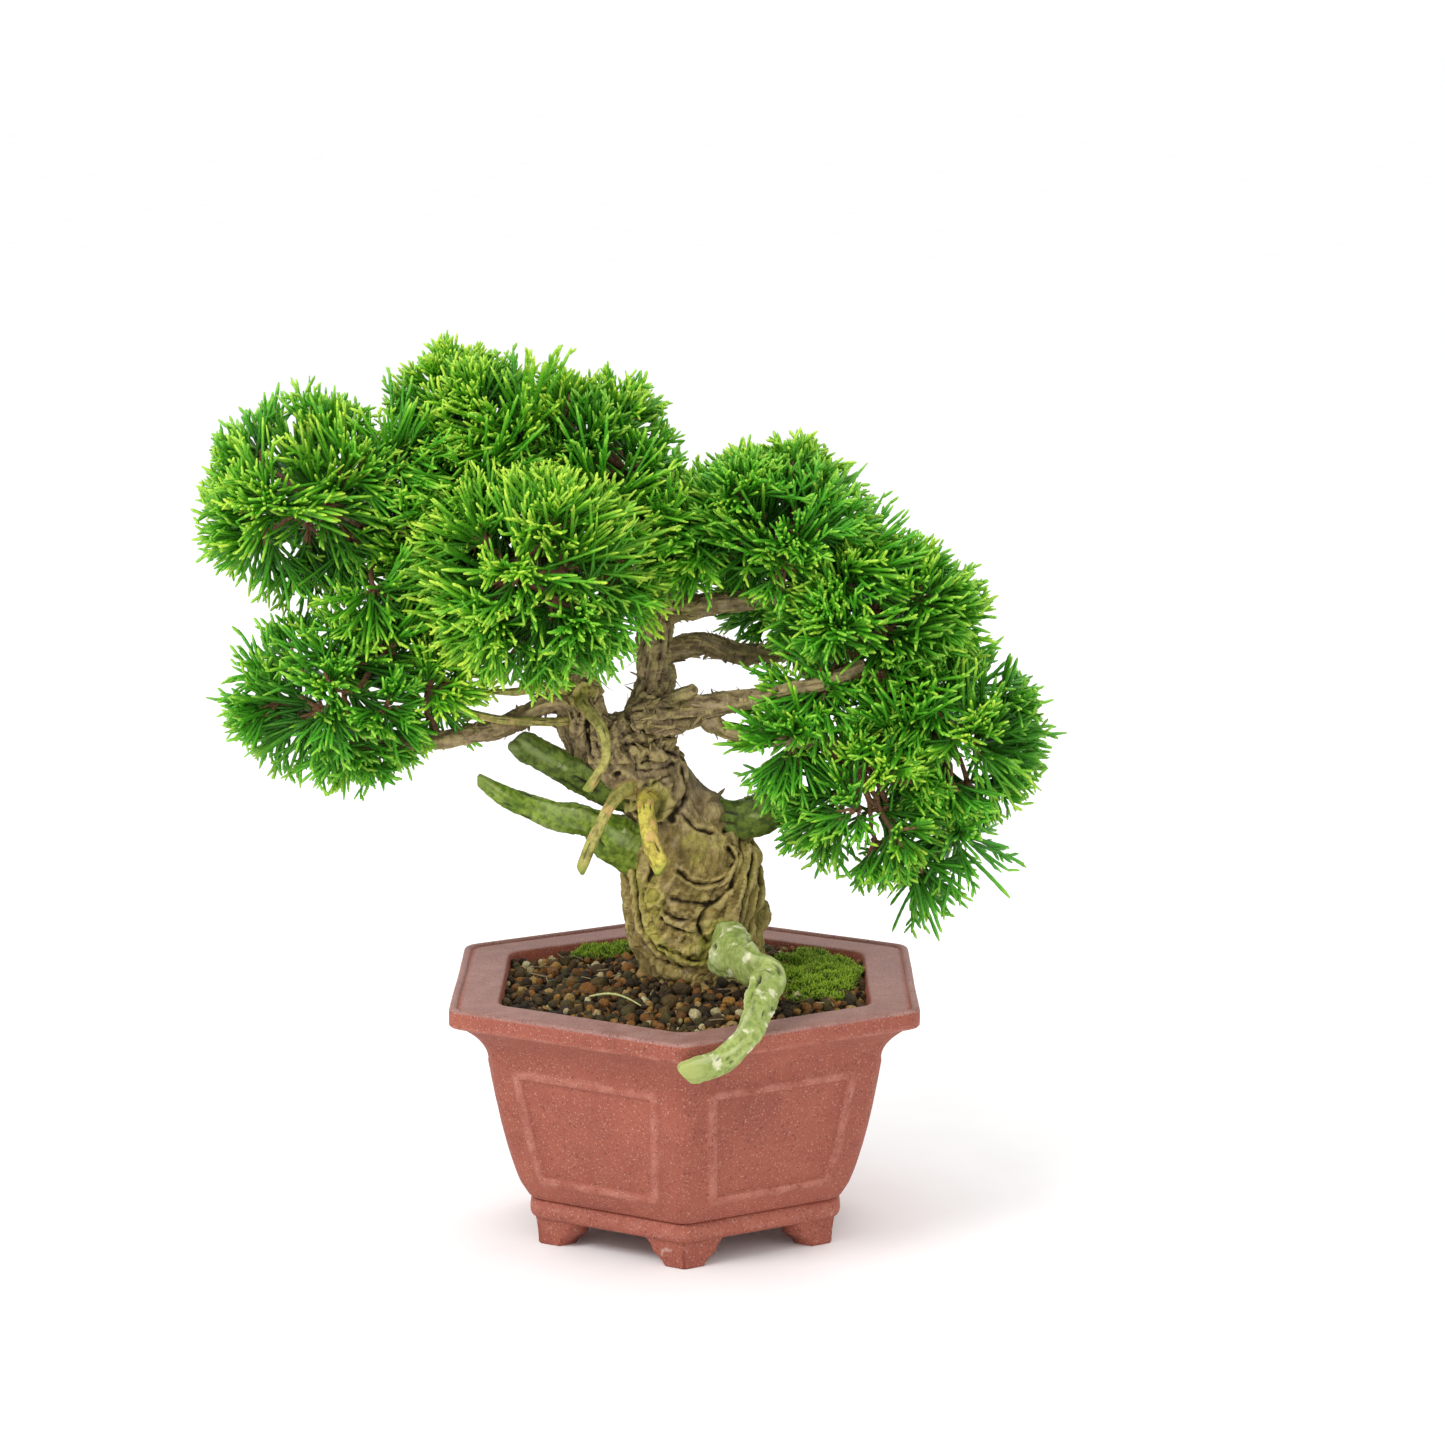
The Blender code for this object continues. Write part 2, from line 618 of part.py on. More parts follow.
def build_pads(limbs):
    done = []
    for seed, (name, (centre, halves)) in enumerate(PADS.items(), start=1):
        pad = add_object(name, pad_mesh(name, centre, halves, seed), FOLIAGE)
        for other in done:
            if pads_meet(name, other):
                boolean(pad, bpy.data.objects[f"{other}_cutter"])
        for cutter, run in limbs.values():
            if limb_enters(name, run):
                boolean(pad, cutter)
        add_cutter(f"{name}_cutter", grown(pad.data, f"{name}_cutter"))
        done.append(name)


# ---------------------------------------------------------------- assembly


def rest_on_origin():
    """Moves everything together, so the origin is under the middle of the object's box."""
    graph = bpy.context.evaluated_depsgraph_get()
    corners = []
    for part in PARTS.objects:
        shown = part.evaluated_get(graph)
        corners += [shown.matrix_world @ vert.co for vert in shown.to_mesh().vertices]
        shown.to_mesh_clear()
    low = Vector(min(c[i] for c in corners) for i in range(3))
    high = Vector(max(c[i] for c in corners) for i in range(3))
    root = bpy.data.objects.new("bonsai", None)
    PARTS.objects.link(root)
    for piece in list(PARTS.objects) + list(CUTTERS.objects):
        if piece is not root:
            piece.parent = root
    root.location = (-(low.x + high.x) / 2, -(low.y + high.y) / 2, -low.z)
    print("pot axis at", [round(v, 5) for v in root.location], "size", [round(v, 5) for v in high - low])


def main():
    build_pot()
    build_screen()
    limbs = build_limbs()
    trunk_cutter = limbs["trunk"][0]
    build_soil(trunk_cutter)
    for name, (centre, radii, turn) in MOSSES.items():
        spot = [share * OPENING_HALF for share in centre]
        build_moss(name, spot, [share * OPENING_HALF for share in radii], turn, trunk_cutter)
    build_pads(limbs)
    rest_on_origin()


main()
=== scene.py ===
# %% [markdown]
# # A juniper bonsai in a six-sided clay pot
# A small collected-looking juniper: a swollen, folded trunk, two live stems, bare
# jins (branches stripped of their bark and left to weather) and a dozen pads of
# needle-like foliage. It stands in an unglazed red clay pot with six flared sides.
# The lesson goes from the pot upwards: clay, soil, moss, wood, deadwood, foliage,
# and last the floor, the light and the camera.

import math

import bmesh
import bpy
import numpy as np
from mathutils import Matrix, Vector
from mathutils.bvhtree import BVHTree
from mathutils.noise import noise


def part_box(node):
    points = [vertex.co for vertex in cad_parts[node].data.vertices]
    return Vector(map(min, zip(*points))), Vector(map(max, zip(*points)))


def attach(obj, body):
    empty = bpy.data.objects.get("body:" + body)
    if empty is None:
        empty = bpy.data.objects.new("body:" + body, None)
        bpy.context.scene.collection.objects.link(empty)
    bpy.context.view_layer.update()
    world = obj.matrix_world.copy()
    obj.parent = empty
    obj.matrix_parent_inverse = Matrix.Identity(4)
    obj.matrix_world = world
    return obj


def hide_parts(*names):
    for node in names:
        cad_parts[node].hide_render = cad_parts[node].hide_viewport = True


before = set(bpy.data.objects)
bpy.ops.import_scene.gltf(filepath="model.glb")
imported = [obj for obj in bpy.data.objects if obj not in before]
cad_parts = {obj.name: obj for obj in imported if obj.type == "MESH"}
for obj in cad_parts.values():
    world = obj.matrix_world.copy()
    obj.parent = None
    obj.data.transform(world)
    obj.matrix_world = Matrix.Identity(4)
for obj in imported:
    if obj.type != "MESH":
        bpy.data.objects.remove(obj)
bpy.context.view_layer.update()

# %% [markdown]
# ## Units and places
# The tree was measured from the middle of the pot's lip, in millimetres, so one
# small function turns such a place into metres in the shared frame. The pot's box
# gives that middle: the raised bead on the lip stands 0.6 mm above the lip itself.

# %%
MM = 0.001
TAU = 2 * math.pi
pot_low, pot_high = (np.array(corner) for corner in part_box("pot"))
LIP = np.array([*(pot_low + pot_high)[:2] / 2, pot_high[2] - 0.6 * MM])


def at(points):
    """Places in mm from the middle of the lip, as metres in the frame."""
    return np.asarray(points, float) * MM + LIP


print("the middle of the lip is at", LIP.round(4), "m")

# %% [markdown]
# ## Building meshes and materials
# Most pieces here are grown by formulas, so their points arrive as arrays. One
# function turns arrays into an object that rides on the part's only body and
# stands for the CAD nodes it replaces. Colours are written the way a paint chart
# gives them (sRGB) and turned linear once. One more function adds any shader node.

# %%


def linear(code):
    """An sRGB hex colour as linear red, green, blue and alpha."""
    parts = [int(code[i : i + 2], 16) / 255 for i in (1, 3, 5)]
    return (*[c / 12.92 if c < 0.04045 else ((c + 0.055) / 1.055) ** 2.4 for c in parts], 1.0)


def mesh_object(name, points, faces, material, stands_for=()):
    """A smooth piece from an array of points (m) and one or more arrays of faces, riding on the part."""
    blocks = [np.asarray(block, np.int32) for block in (faces if isinstance(faces, list) else [faces])]
    mesh = bpy.data.meshes.new(name)
    mesh.vertices.add(len(points))
    mesh.vertices.foreach_set("co", np.asarray(points, np.float32).ravel())
    sizes = np.concatenate([np.full(len(block), block.shape[1]) for block in blocks])
    mesh.loops.add(int(sizes.sum()))
    mesh.loops.foreach_set("vertex_index", np.concatenate([block.ravel() for block in blocks]))
    mesh.polygons.add(len(sizes))
    mesh.polygons.foreach_set("loop_start", np.concatenate([[0], np.cumsum(sizes)[:-1]]).astype(np.int32))
    mesh.update(calc_edges=True)
    mesh.validate()
    mesh.polygons.foreach_set("use_smooth", np.ones(len(mesh.polygons), bool))
    mesh.materials.append(material)
    thing = bpy.data.objects.new(name, mesh)
    bpy.context.scene.collection.objects.link(thing)
    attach(thing, "root")
    if stands_for:
        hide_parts(*stands_for)
    return thing


def store(mesh, name, values):
    """Keep one number, or one vector, per point of a mesh for its material to read."""
    values = np.asarray(values, np.float32)
    kind, field = ("FLOAT", "value") if values.ndim == 1 else ("FLOAT_VECTOR", "vector")
    mesh.attributes.new(name, kind, "POINT").data.foreach_set(field, values.ravel())


def node(tree, kind, settings=None, **inputs):
    """Add a shader node; its inputs take values or the outputs of other nodes."""
    new = tree.nodes.new("ShaderNode" + kind)
    for key, value in (settings or {}).items():
        if key == "stops":
            while len(new.color_ramp.elements) < len(value):
                new.color_ramp.elements.new(0.5)
            for element, (position, colour) in zip(new.color_ramp.elements, value):
                element.position = position
                element.color = linear(colour) if isinstance(colour, str) else (colour,) * 3 + (1,)
        else:
            setattr(new, key, value)
    for key, value in inputs.items():
        socket = new.inputs[int(key[1:]) if key[1:].isdigit() else key.replace("_", " ")]
        if isinstance(value, bpy.types.NodeSocket):
            tree.links.new(value, socket)
        else:
            socket.default_value = value
    return new.outputs[2] if kind == "Mix" and new.data_type == "RGBA" else new.outputs[0]


def mixed(tree, factor, first, second):
    """Two colours mixed by a factor; hex codes are allowed for either."""
    first, second = (linear(c) if isinstance(c, str) else c for c in (first, second))
    return node(tree, "Mix", {"data_type": "RGBA"}, i0=factor, i6=first, i7=second)


def times(tree, value, factor):
    """A shader value made weaker or stronger by a factor."""
    return node(tree, "Math", {"operation": "MULTIPLY"}, i0=value, i1=factor)


def stored(tree, name, output="Fac"):
    """What was stored under a name in the mesh's points: a number (Fac) or a Vector."""
    return node(tree, "Attribute", {"attribute_name": name}).node.outputs[output]


def split(tree, vector):
    """The three parts of a vector."""
    return node(tree, "SeparateXYZ", Vector=vector).node.outputs


def speckle(tree, where, size_mm, low, high, detail=2.0):
    """Noise of a real size, sharpened so that it runs from 0 at low to 1 at high."""
    grain = node(tree, "TexNoise", Vector=where, Scale=1 / (size_mm * MM), Detail=detail)
    return node(tree, "MapRange", Value=grain, From_Min=low, From_Max=high)


def new_material(name):
    """An empty node material: its tree, its surface and the object's own coordinates."""
    made = bpy.data.materials.new(name)
    made.use_nodes = True
    tree = made.node_tree
    surface = tree.nodes["Principled BSDF"]
    where = tree.nodes.new("ShaderNodeTexCoord").outputs["Object"]
    return made, tree, surface, where


def finish_surface(tree, surface, colour, roughness, height=None, depth_mm=0.1, ior=1.5):
    """Link a colour, a roughness and a height (as bump of a real depth) to a surface."""
    tree.links.new(colour, surface.inputs["Base Color"])
    if isinstance(roughness, bpy.types.NodeSocket):
        tree.links.new(roughness, surface.inputs["Roughness"])
    else:
        surface.inputs["Roughness"].default_value = roughness
    surface.inputs["IOR"].default_value = ior
    if height is not None:
        bump = node(tree, "Bump", Strength=1.0, Distance=depth_mm * MM, Height=height)
        tree.links.new(bump, surface.inputs["Normal"])


def ease(value, low, high):
    """0 below low, 1 above high and a smooth run between."""
    t = np.clip((np.asarray(value, float) - low) / (high - low), 0, 1)
    return t * t * (3 - 2 * t)


def grid_quads(rows, columns, closed=True, start=0):
    """Quads between neighbouring rows of points, each row a closed or an open ring."""
    last = columns if closed else columns - 1
    row, column = np.meshgrid(np.arange(rows - 1), np.arange(last), indexing="ij")
    here = row * columns + column
    side = row * columns + (column + 1) % columns
    return start + np.stack([here, side, side + columns, here + columns], -1).reshape(-1, 4)


def unit(vectors):
    """Vectors made one long."""
    return vectors / np.maximum(np.linalg.norm(vectors, axis=-1, keepdims=True), 1e-9)


# %% [markdown]
# ## The pot
# The pot is stoneware pressed in a mould and fired without glaze. Its plan is a
# hexagon with rounded corners; from a narrow foot with a half-round moulding the
# walls swell outwards, turn under a hollow neck and end in a flat lip whose outer
# edge carries a slim raised bead. Each wall shows a raised frame and each corner
# stands on a bracket foot. One profile is swept round the plan, with rows and
# columns packed where an edge must look crisp, and the frames are pushed out of
# the wall as ridges, so that they melt into it as pressed clay does.

# %%
LIP_HALF, LIP_CORNER, OPENING_HALF, OPENING_CORNER = 75.5, 6.0, 60.0, 8.0
BASE_HALF, BODY_CORNER, NECK_HALF, BASE_Z, BODY_FOOT_Z, NECK_Z = 49.4, 7.0, 63.5, 9.2, 15.6, 64.0
COVE_TOP_Z, POT_HEIGHT, FLOOR_Z, DRAIN_RADIUS, WALL, BEAD_RADIUS = 76.0, 82.5, 15.2, 6.0, 5.0, 1.3
FRAME_HALF_WIDTH, FRAME_PROUD, FRAME_INSET, PANEL_SUNK = 2.1, 0.9, 6.4, 0.3
FRAME_LOW_Z, FRAME_HIGH_Z = BODY_FOOT_Z + 8.0, NECK_Z - 2.6
COS30, TAN30 = math.cos(TAU / 12), math.tan(TAU / 12)
EDGE_STEPS = [0, 1.2, 2.6, 3.6, 4.1, 4.5, 4.8, 5.1, 5.5, 6.0, 6.6, 7.2, 7.6, 7.9, 8.2, 8.4, 8.6, 9.0, 10.0]


def hexagon(half, corner, arc=9, middle=14):
    """A rounded hexagon, first corner in front, and how far each point is from its flat's end."""
    centre = (half - corner) / COS30
    flat = 2 * (half - corner) * TAN30
    near = np.array(EDGE_STEPS) * min(1, flat / 24)
    along = np.concatenate([near, np.linspace(near[-1], flat - near[-1], middle)[1:-1], flat - near[::-1]])
    points, ends = [], []
    for side in range(6):
        middle_angle = -TAU / 4 + side * TAU / 6
        angles = middle_angle + np.linspace(-TAU / 12, TAU / 12, arc)[1:-1]
        hub = centre * np.array([math.cos(middle_angle), math.sin(middle_angle)])
        points.append(hub + corner * np.stack([np.cos(angles), np.sin(angles)], -1))
        ends.append(np.full(arc - 2, -1.0))
        facing = middle_angle + TAU / 12
        start = hub + corner * np.array([math.cos(facing), math.sin(facing)])
        run = np.array([-math.sin(facing), math.cos(facing)])
        points.append(start + along[:, None] * run)
        ends.append(np.minimum(along, flat - along))
    return np.concatenate(points), np.concatenate(ends)


def body_half(z):
    """The wall's swelling outside, from the base moulding to the neck."""
    t = np.clip((z - BODY_FOOT_Z) / (NECK_Z - BODY_FOOT_Z), 0, 1)
    return BASE_HALF + (NECK_HALF - BASE_HALF) * t**0.55


def half_round(low, high, half, reach, count=9):
    """Profile rows of a moulding that bulges by reach between two heights."""
    angles = np.linspace(-TAU / 4, TAU / 4, count)
    middle, radius = (low + high) / 2, (high - low) / 2
    return [(half + reach * math.cos(a) ** 0.7, BODY_CORNER, middle + radius * math.sin(a)) for a in angles]


near_low = FRAME_LOW_Z + np.arange(-2.7, 2.8, 0.3)
near_high = FRAME_HIGH_Z + np.arange(-2.7, 2.4, 0.3)
lowest = [BODY_FOOT_Z + 0.4, BODY_FOOT_Z + 1.2]
between = np.linspace(near_low[-1], near_high[0], 26)[1:-1]
body_rows = np.concatenate([lowest, near_low, between, near_high])
profile = [(BASE_HALF - 2.2, BODY_CORNER, BASE_Z)]
profile += half_round(BASE_Z, BODY_FOOT_Z, BASE_HALF - 0.5, 1.9, 13)
profile += [(float(body_half(z)), BODY_CORNER, z) for z in body_rows]
for t in np.linspace(0.0, 1.0, 13)[1:]:
    cove_half = NECK_HALF + (LIP_HALF - 3.6 - NECK_HALF) * t**2.0
    profile.append((cove_half, 6.8 - 0.8 * t, NECK_Z + (COVE_TOP_Z - NECK_Z) * t))
lip_low = POT_HEIGHT - 5.6
profile += [(LIP_HALF - 1.4, LIP_CORNER, lip_low - 0.35), (LIP_HALF - 0.5, LIP_CORNER, lip_low)]
profile += [(LIP_HALF, LIP_CORNER, lip_low + 0.6)]
profile += [(LIP_HALF, LIP_CORNER, z) for z in np.linspace(lip_low + 1.2, POT_HEIGHT - 1.2, 6)]
for angle in np.linspace(0.1, TAU / 2 - 0.1, 9):
    bead_out, bead_up = BEAD_RADIUS * math.cos(angle), BEAD_RADIUS * math.sin(angle)
    profile.append((LIP_HALF - BEAD_RADIUS + bead_out, LIP_CORNER, POT_HEIGHT - 0.7 + bead_up))
for back, down in ((2.75, 0.35), (3.1, 0.45), (3.6, 0.25), (4.4, 0)):
    profile.append((LIP_HALF - back, LIP_CORNER, POT_HEIGHT - down))
for t in np.linspace(0.15, 1, 7):
    corner = LIP_CORNER + (OPENING_CORNER - LIP_CORNER) * t
    profile.append((71.1 + (OPENING_HALF + 0.7 - 71.1) * t, corner, POT_HEIGHT))
for wider, down in ((0.25, 0.2), (0, 0.7)):
    profile.append((OPENING_HALF + wider, OPENING_CORNER, POT_HEIGHT - down))
profile += [(OPENING_HALF - 0.15 * d, OPENING_CORNER, POT_HEIGHT - d) for d in (1.6, 3.0, 5.0, 8.0, 12.0)]
for z in (NECK_Z, 50.0, 36.0, 24.0, FLOOR_Z + 3):
    profile.append((float(body_half(z)) - WALL, OPENING_CORNER, z))
profile += [(float(body_half(FLOOR_Z + 1)) - 8, OPENING_CORNER, FLOOR_Z)]
rings, frames = [], []
for half, corner, z in profile:
    ring, ends = hexagon(half, corner)
    across = np.abs(ends - FRAME_INSET)
    to_rail = min(abs(z - FRAME_LOW_Z), abs(z - FRAME_HIGH_Z))
    between_rails = FRAME_LOW_Z < z < FRAME_HIGH_Z
    inside = (ends > FRAME_INSET) & between_rails
    upright = np.where(between_rails, across, np.inf)
    level = np.where(ends > FRAME_INSET, to_rail, np.inf)
    gap = np.minimum(np.minimum(upright, level), np.hypot(across, to_rail))
    gap = np.where(ends < 0, np.inf, gap)
    ridge = np.where(inside, 1 - ease(gap, 1.45, FRAME_HALF_WIDTH), 1 - ease(gap, 0.5, 2.5))
    ridge = ridge * (0.86 + 0.14 * np.cos(np.minimum(gap, 2) * 1.5))
    on_body = (len(rings) > 13) and (z < NECK_Z) and (half > 40)
    ridge = ridge * on_body * (len(rings) < 14 + len(body_rows))
    outward = unit(ring)
    panel = inside * on_body * (ridge < 0.01)
    grown = ring + outward * (ridge * FRAME_PROUD - PANEL_SUNK * panel)[:, None]
    rings.append(np.column_stack([grown, np.full(len(ring), z)]))
    frames.append(ridge)
columns = len(rings[0])
drain_angles = np.arctan2(rings[0][:, 1], rings[0][:, 0])
for z in (FLOOR_Z, BASE_Z):
    drain = DRAIN_RADIUS * np.stack([np.cos(drain_angles), np.sin(drain_angles)], -1)
    rings.append(np.column_stack([drain, np.full(columns, z)]))
    frames.append(np.zeros(columns))
rings.append(rings[0])
frames.append(frames[0])
print("the pot's wall is swept from", len(rings), "rows of", columns, "points")

# %% [markdown]
# The bracket feet are small right-angled walls under each corner, cut away inside
# in an ogee curve. Each is a V-shaped ring of clay, longer along the walls the
# higher it goes.

# %%
OGEE = ((0.0, 0.0), (0.08, 0.04), (0.2, 0.14), (0.34, 0.34), (0.45, 0.55), (0.52, 0.66))
OGEE += ((0.6, 0.70), (0.72, 0.74), (0.84, 0.86), (0.93, 0.97), (1.0, 1.0))
FOOT_OUT, FOOT_THICK, FOOT_SHORT, FOOT_LONG = 48.0, 6.0, 7.2, 14.2
foot_rows = np.concatenate([[0.0, 0.25, 0.6], np.linspace(1.2, BASE_Z + 1.6, 14)])
foot_rings = []
for z in foot_rows:
    rise = min(z / BASE_Z, 1)
    wing = FOOT_SHORT + (FOOT_LONG - FOOT_SHORT) * np.interp(rise, *zip(*OGEE)) - 0.5 * (z < 0.2)
    slack = 0.45 * (1 - ease(z, 0.0, 0.7))
    out, back = FOOT_OUT - slack + 0.9 * rise**2, FOOT_OUT - FOOT_THICK + slack
    line = np.linspace(0.05, 1, 9)
    run = np.stack([COS30 * line * wing, 0.5 * line * wing - out / COS30], -1)
    rear = np.stack([COS30 * line * wing, 0.5 * line * wing - back / COS30], -1)
    half_ring = np.concatenate([run, [run[-1] * 0.5 + rear[-1] * 0.5 + [0.2, 0.1]], rear[::-1]])
    mirrored = half_ring[::-1] * [-1, 1]
    nose = np.array([[0.0, -out / COS30 + 0.9]])
    foot_rings.append(np.column_stack([np.concatenate([nose, half_ring, mirrored]), np.full(39, z)]))
foot = np.concatenate(foot_rings)
foot_cap = [[0, i, i + 1] for i in range(1, 38)]
foot_tris = np.array(foot_cap)[:, ::-1]
foot_quads = grid_quads(len(foot_rows), 39)
points, faces_quads, faces_tris = [np.concatenate(rings)], [grid_quads(len(rings), columns)], []
start = len(points[0])
for corner in range(6):
    turn = np.array(Matrix.Rotation(corner * TAU / 6, 3, "Z"))
    points.append(foot @ turn.T)
    faces_quads.append(foot_quads + start)
    faces_tris.append(foot_tris + start)
    start += len(foot)
points = np.concatenate(points)

# %% [markdown]
# No pot leaves its mould quite true. Slow waves of a quarter of a millimetre bend
# the walls, and small dents soften the edges. The places on the bead, the lip edge
# and the moulding that hands and tools rub are kept as a wear number; the raised
# frames share that number as a painted highlight, so that they show paler.

# %%


def waves(points, size, seed):
    """Smooth noise at every point, from about -1 to 1; size and points are in mm."""
    shift = Vector((seed * 17.3, seed * 5.1, seed * 9.7))
    return np.array([noise(Vector(p) / size + shift) for p in points])


outward = np.column_stack([unit(points[:, :2]), np.zeros(len(points))])
on_walls = (np.hypot(points[:, 0], points[:, 1]) > 20)[:, None]
points = points + outward * on_walls * (0.22 * waves(points, 31, 1) + 0.05 * waves(points, 4.5, 2))[:, None]
points[:, 2] += (points[:, 2] > 70) * 0.16 * waves(points, 27, 3)
# The raised frames are made paler as a painted highlight; the bead, lip edge and moulding carry real rubbed
# wear.
frame_highlight = np.concatenate(frames + [np.zeros(6 * len(foot))])
bead_wear = ease(points[:, 2], POT_HEIGHT - 0.7, POT_HEIGHT + 0.3)
lip_edge_wear = 0.7 * (1 - ease(np.abs(points[:, 2] - lip_low - 0.3), 0.3, 1.2))
lip_edge_wear = lip_edge_wear * (np.hypot(points[:, 0], points[:, 1]) > LIP_HALF - 2)
moulding_wear = 0.35 * (1 - ease(np.abs(points[:, 2] - (BASE_Z + BODY_FOOT_Z) / 2), 0.8, 2.6))
wear_and_frame_highlight = np.maximum.reduce([0.8 * frame_highlight, bead_wear, lip_edge_wear, moulding_wear])

# %% [markdown]
# Unglazed red clay: warm red-brown with slow changes of tone from the kiln, fine
# pale and dark grog, rubbed edges that are paler and pinker (on the raised frames
# the same paler colour is a painted highlight), a mauve tint on the lip top that is
# a painted reflection of the white sky, and a little white mineral crust low on one
# wall. The eye reads the dry, matte roughness and the grain; the bump is a tenth of
# a millimetre, like fine sandpaper.

# %%
clay, tree, surface, where = new_material("unglazed_red_clay")
kiln = speckle(tree, where, 34, 0.3, 0.7)
clouds = speckle(tree, where, 7, 0.32, 0.68, 4)
body = mixed(tree, kiln, "#864334", "#98503f")
body = mixed(tree, times(tree, clouds, 0.45), body, "#a3604c")
wear = stored(tree, "wear")
patchy = speckle(tree, where, 5, 0.35, 0.62, 5)
# painted highlight on the raised frames and real rubbed wear elsewhere: both make the clay paler and pinker
rubbed_and_highlit = times(tree, wear, patchy)
body = mixed(tree, rubbed_and_highlit, body, "#b07060")
height_of = split(tree, where)[2]
# painted reflection: the flat lip top is tinted mauve as the reflection of the white sky
sky_reflection_on_top = node(tree, "MapRange", Value=height_of, From_Min=82.0 * MM, From_Max=82.4 * MM)
painted_sky_reflection = mixed(tree, clouds, "#84605a", "#9c7b74")
body = mixed(tree, times(tree, sky_reflection_on_top, 0.8), body, painted_sky_reflection)
pale_grog = speckle(tree, where, 0.55, 0.69, 0.73, 0)
dark_grog = speckle(tree, where, 0.8, 0.32, 0.27, 0)
body = mixed(tree, times(tree, pale_grog, 0.4), body, "#d0a592")
body = mixed(tree, times(tree, dark_grog, 0.5), body, "#5a2a22")
low_down = node(tree, "MapRange", Value=height_of, From_Min=17 * MM, From_Max=9 * MM)
crust_noise = speckle(tree, where, 4.2, 0.62, 0.74, 6)
crust = times(tree, low_down, crust_noise)
body = mixed(tree, times(tree, crust, 0.6), body, "#cdb6a8")
grain = node(tree, "TexNoise", Vector=where, Scale=1 / (0.35 * MM), Detail=3.0)
dents = node(tree, "TexNoise", Vector=where, Scale=1 / (2.6 * MM), Detail=4.0)
relief = node(tree, "Math", {"operation": "MULTIPLY_ADD"}, i0=dents, i1=1.6, i2=grain)
dry = node(tree, "MapRange", Value=clouds, To_Min=0.62, To_Max=0.8)
finish_surface(tree, surface, body, dry, relief, 0.07, 1.5)
surface.inputs["Specular IOR Level"].default_value = 0.4

axis = np.array([LIP[0], LIP[1], pot_low[2]])
pot_points = points * MM + axis
quads, tris = np.concatenate(faces_quads), np.concatenate(faces_tris)
pot = mesh_object("pot_clay", pot_points, [quads, tris], clay, ["pot"])
store(pot.data, "wear", wear_and_frame_highlight)
print("the pot has", len(pot.data.polygons), "faces")

# %% [markdown]
# ## The drainage screen
# A square of black plastic net covers the hole in the pot's floor: two layers of
# round strands, crossed and welded. It is only seen through the hole from below.

# %%
net, tree, surface, where = new_material("black_plastic_net")
haze = speckle(tree, where, 1.5, 0.3, 0.7)
finish_surface(tree, surface, mixed(tree, haze, "#141414", "#2a2927"), 0.5, haze, 0.03, 1.46)
screen_low, screen_high = (np.array(corner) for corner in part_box("drainage_screen"))
middle = (screen_low + screen_high) / 2
reach = (screen_high[0] - screen_low[0]) / 2
strand = 0.42 * MM


def tube_points(path, radii, sides, squash=1.0):
    """Rings of points round a path, turned as little as possible from one to the next."""
    path, radii = np.asarray(path, float), np.asarray(radii, float)
    ahead = unit(np.gradient(path, axis=0))
    side = np.cross(ahead[0], [0.0, 0.0, 1.0])
    if np.linalg.norm(side) < 0.2:
        side = np.cross(ahead[0], [0.0, 1.0, 0.0])
    sides_out = []
    for step in ahead:
        side = side - step * (side @ step)
        side = side / np.linalg.norm(side)
        sides_out.append(side)
    side = np.array(sides_out)
    up = np.cross(ahead, side)
    turn = np.arange(sides) * TAU / sides
    ring = np.cos(turn)[None, :, None] * side[:, None] + squash * np.sin(turn)[None, :, None] * up[:, None]
    return path[:, None] + ring * radii[:, None, None]


strands, strand_faces, start = [], [], 0
for layer, lift in ((0, -1), (1, 1)):
    for offset in np.linspace(-reach + strand, reach - strand, 15):
        steps = np.linspace(-reach + 0.0001, reach - 0.0001, 31)
        level = lift * 0.36 * strand + 0.02 * MM * np.sin(steps / reach * 12)
        run = np.stack([steps, np.full(31, offset), level], -1)
        if layer:
            run = run[:, [1, 0, 2]]
        strands.append(tube_points(run + middle, np.full(31, strand * 0.62), 8).reshape(-1, 3))
        strand_faces.append(grid_quads(31, 8, start=start))
        start += 31 * 8
stands = ["drainage_screen"]
mesh_object("drainage_net", np.concatenate(strands), np.concatenate(strand_faces), net, stands)
print("the drainage net has", len(strands), "strands")

# %% [markdown]
# ## Soil
# Bonsai soil is fired clay and lava broken into granules of three to six
# millimetres. Under them lies a dark bed whose near-black colour is painted shade,
# standing for the shadowed depth between the granules; on it lie two layers of
# granules, each one a small ball cut by a few random planes, because crushed and
# tumbled grains have blunt facets. The tint of a grain is one number that its
# material turns into dark brown, olive, ochre, tan or pale pumice.

# %%
rng = np.random.default_rng(4107)
SOIL_DROP, MOUND_HEIGHT, MOUND_SPREAD = 4.0, 5.5, 42.0
TRUNK_FOOT = np.array([6.5, 10.0])


def soil_z(x, y):
    """The height of the soil, in mm from the lip: heaped towards the trunk."""
    away = np.hypot(x - TRUNK_FOOT[0], y - TRUNK_FOOT[1])
    return MOUND_HEIGHT * np.exp(-((away / MOUND_SPREAD) ** 2)) - SOIL_DROP


def hexagon_reach(x, y):
    """How far a place is from the axis, measured the way the pot's walls are."""
    facings = np.arange(6) * TAU / 6
    return np.max([x * math.cos(f) + y * math.sin(f) for f in facings], axis=0)


def cells(count, corners_u, corners_v, across=None):
    """A place in the unit square for each of many small bits, and their own corners inside it."""
    across = across or math.ceil(math.sqrt(count))
    down = math.ceil(count / across)
    index = np.arange(count)
    left = (index % across)[:, None] + 0.1 + 0.8 * corners_u
    low = (index // across)[:, None] + 0.1 + 0.8 * corners_v
    return np.stack([left / across, low / down], -1).reshape(-1, 2)


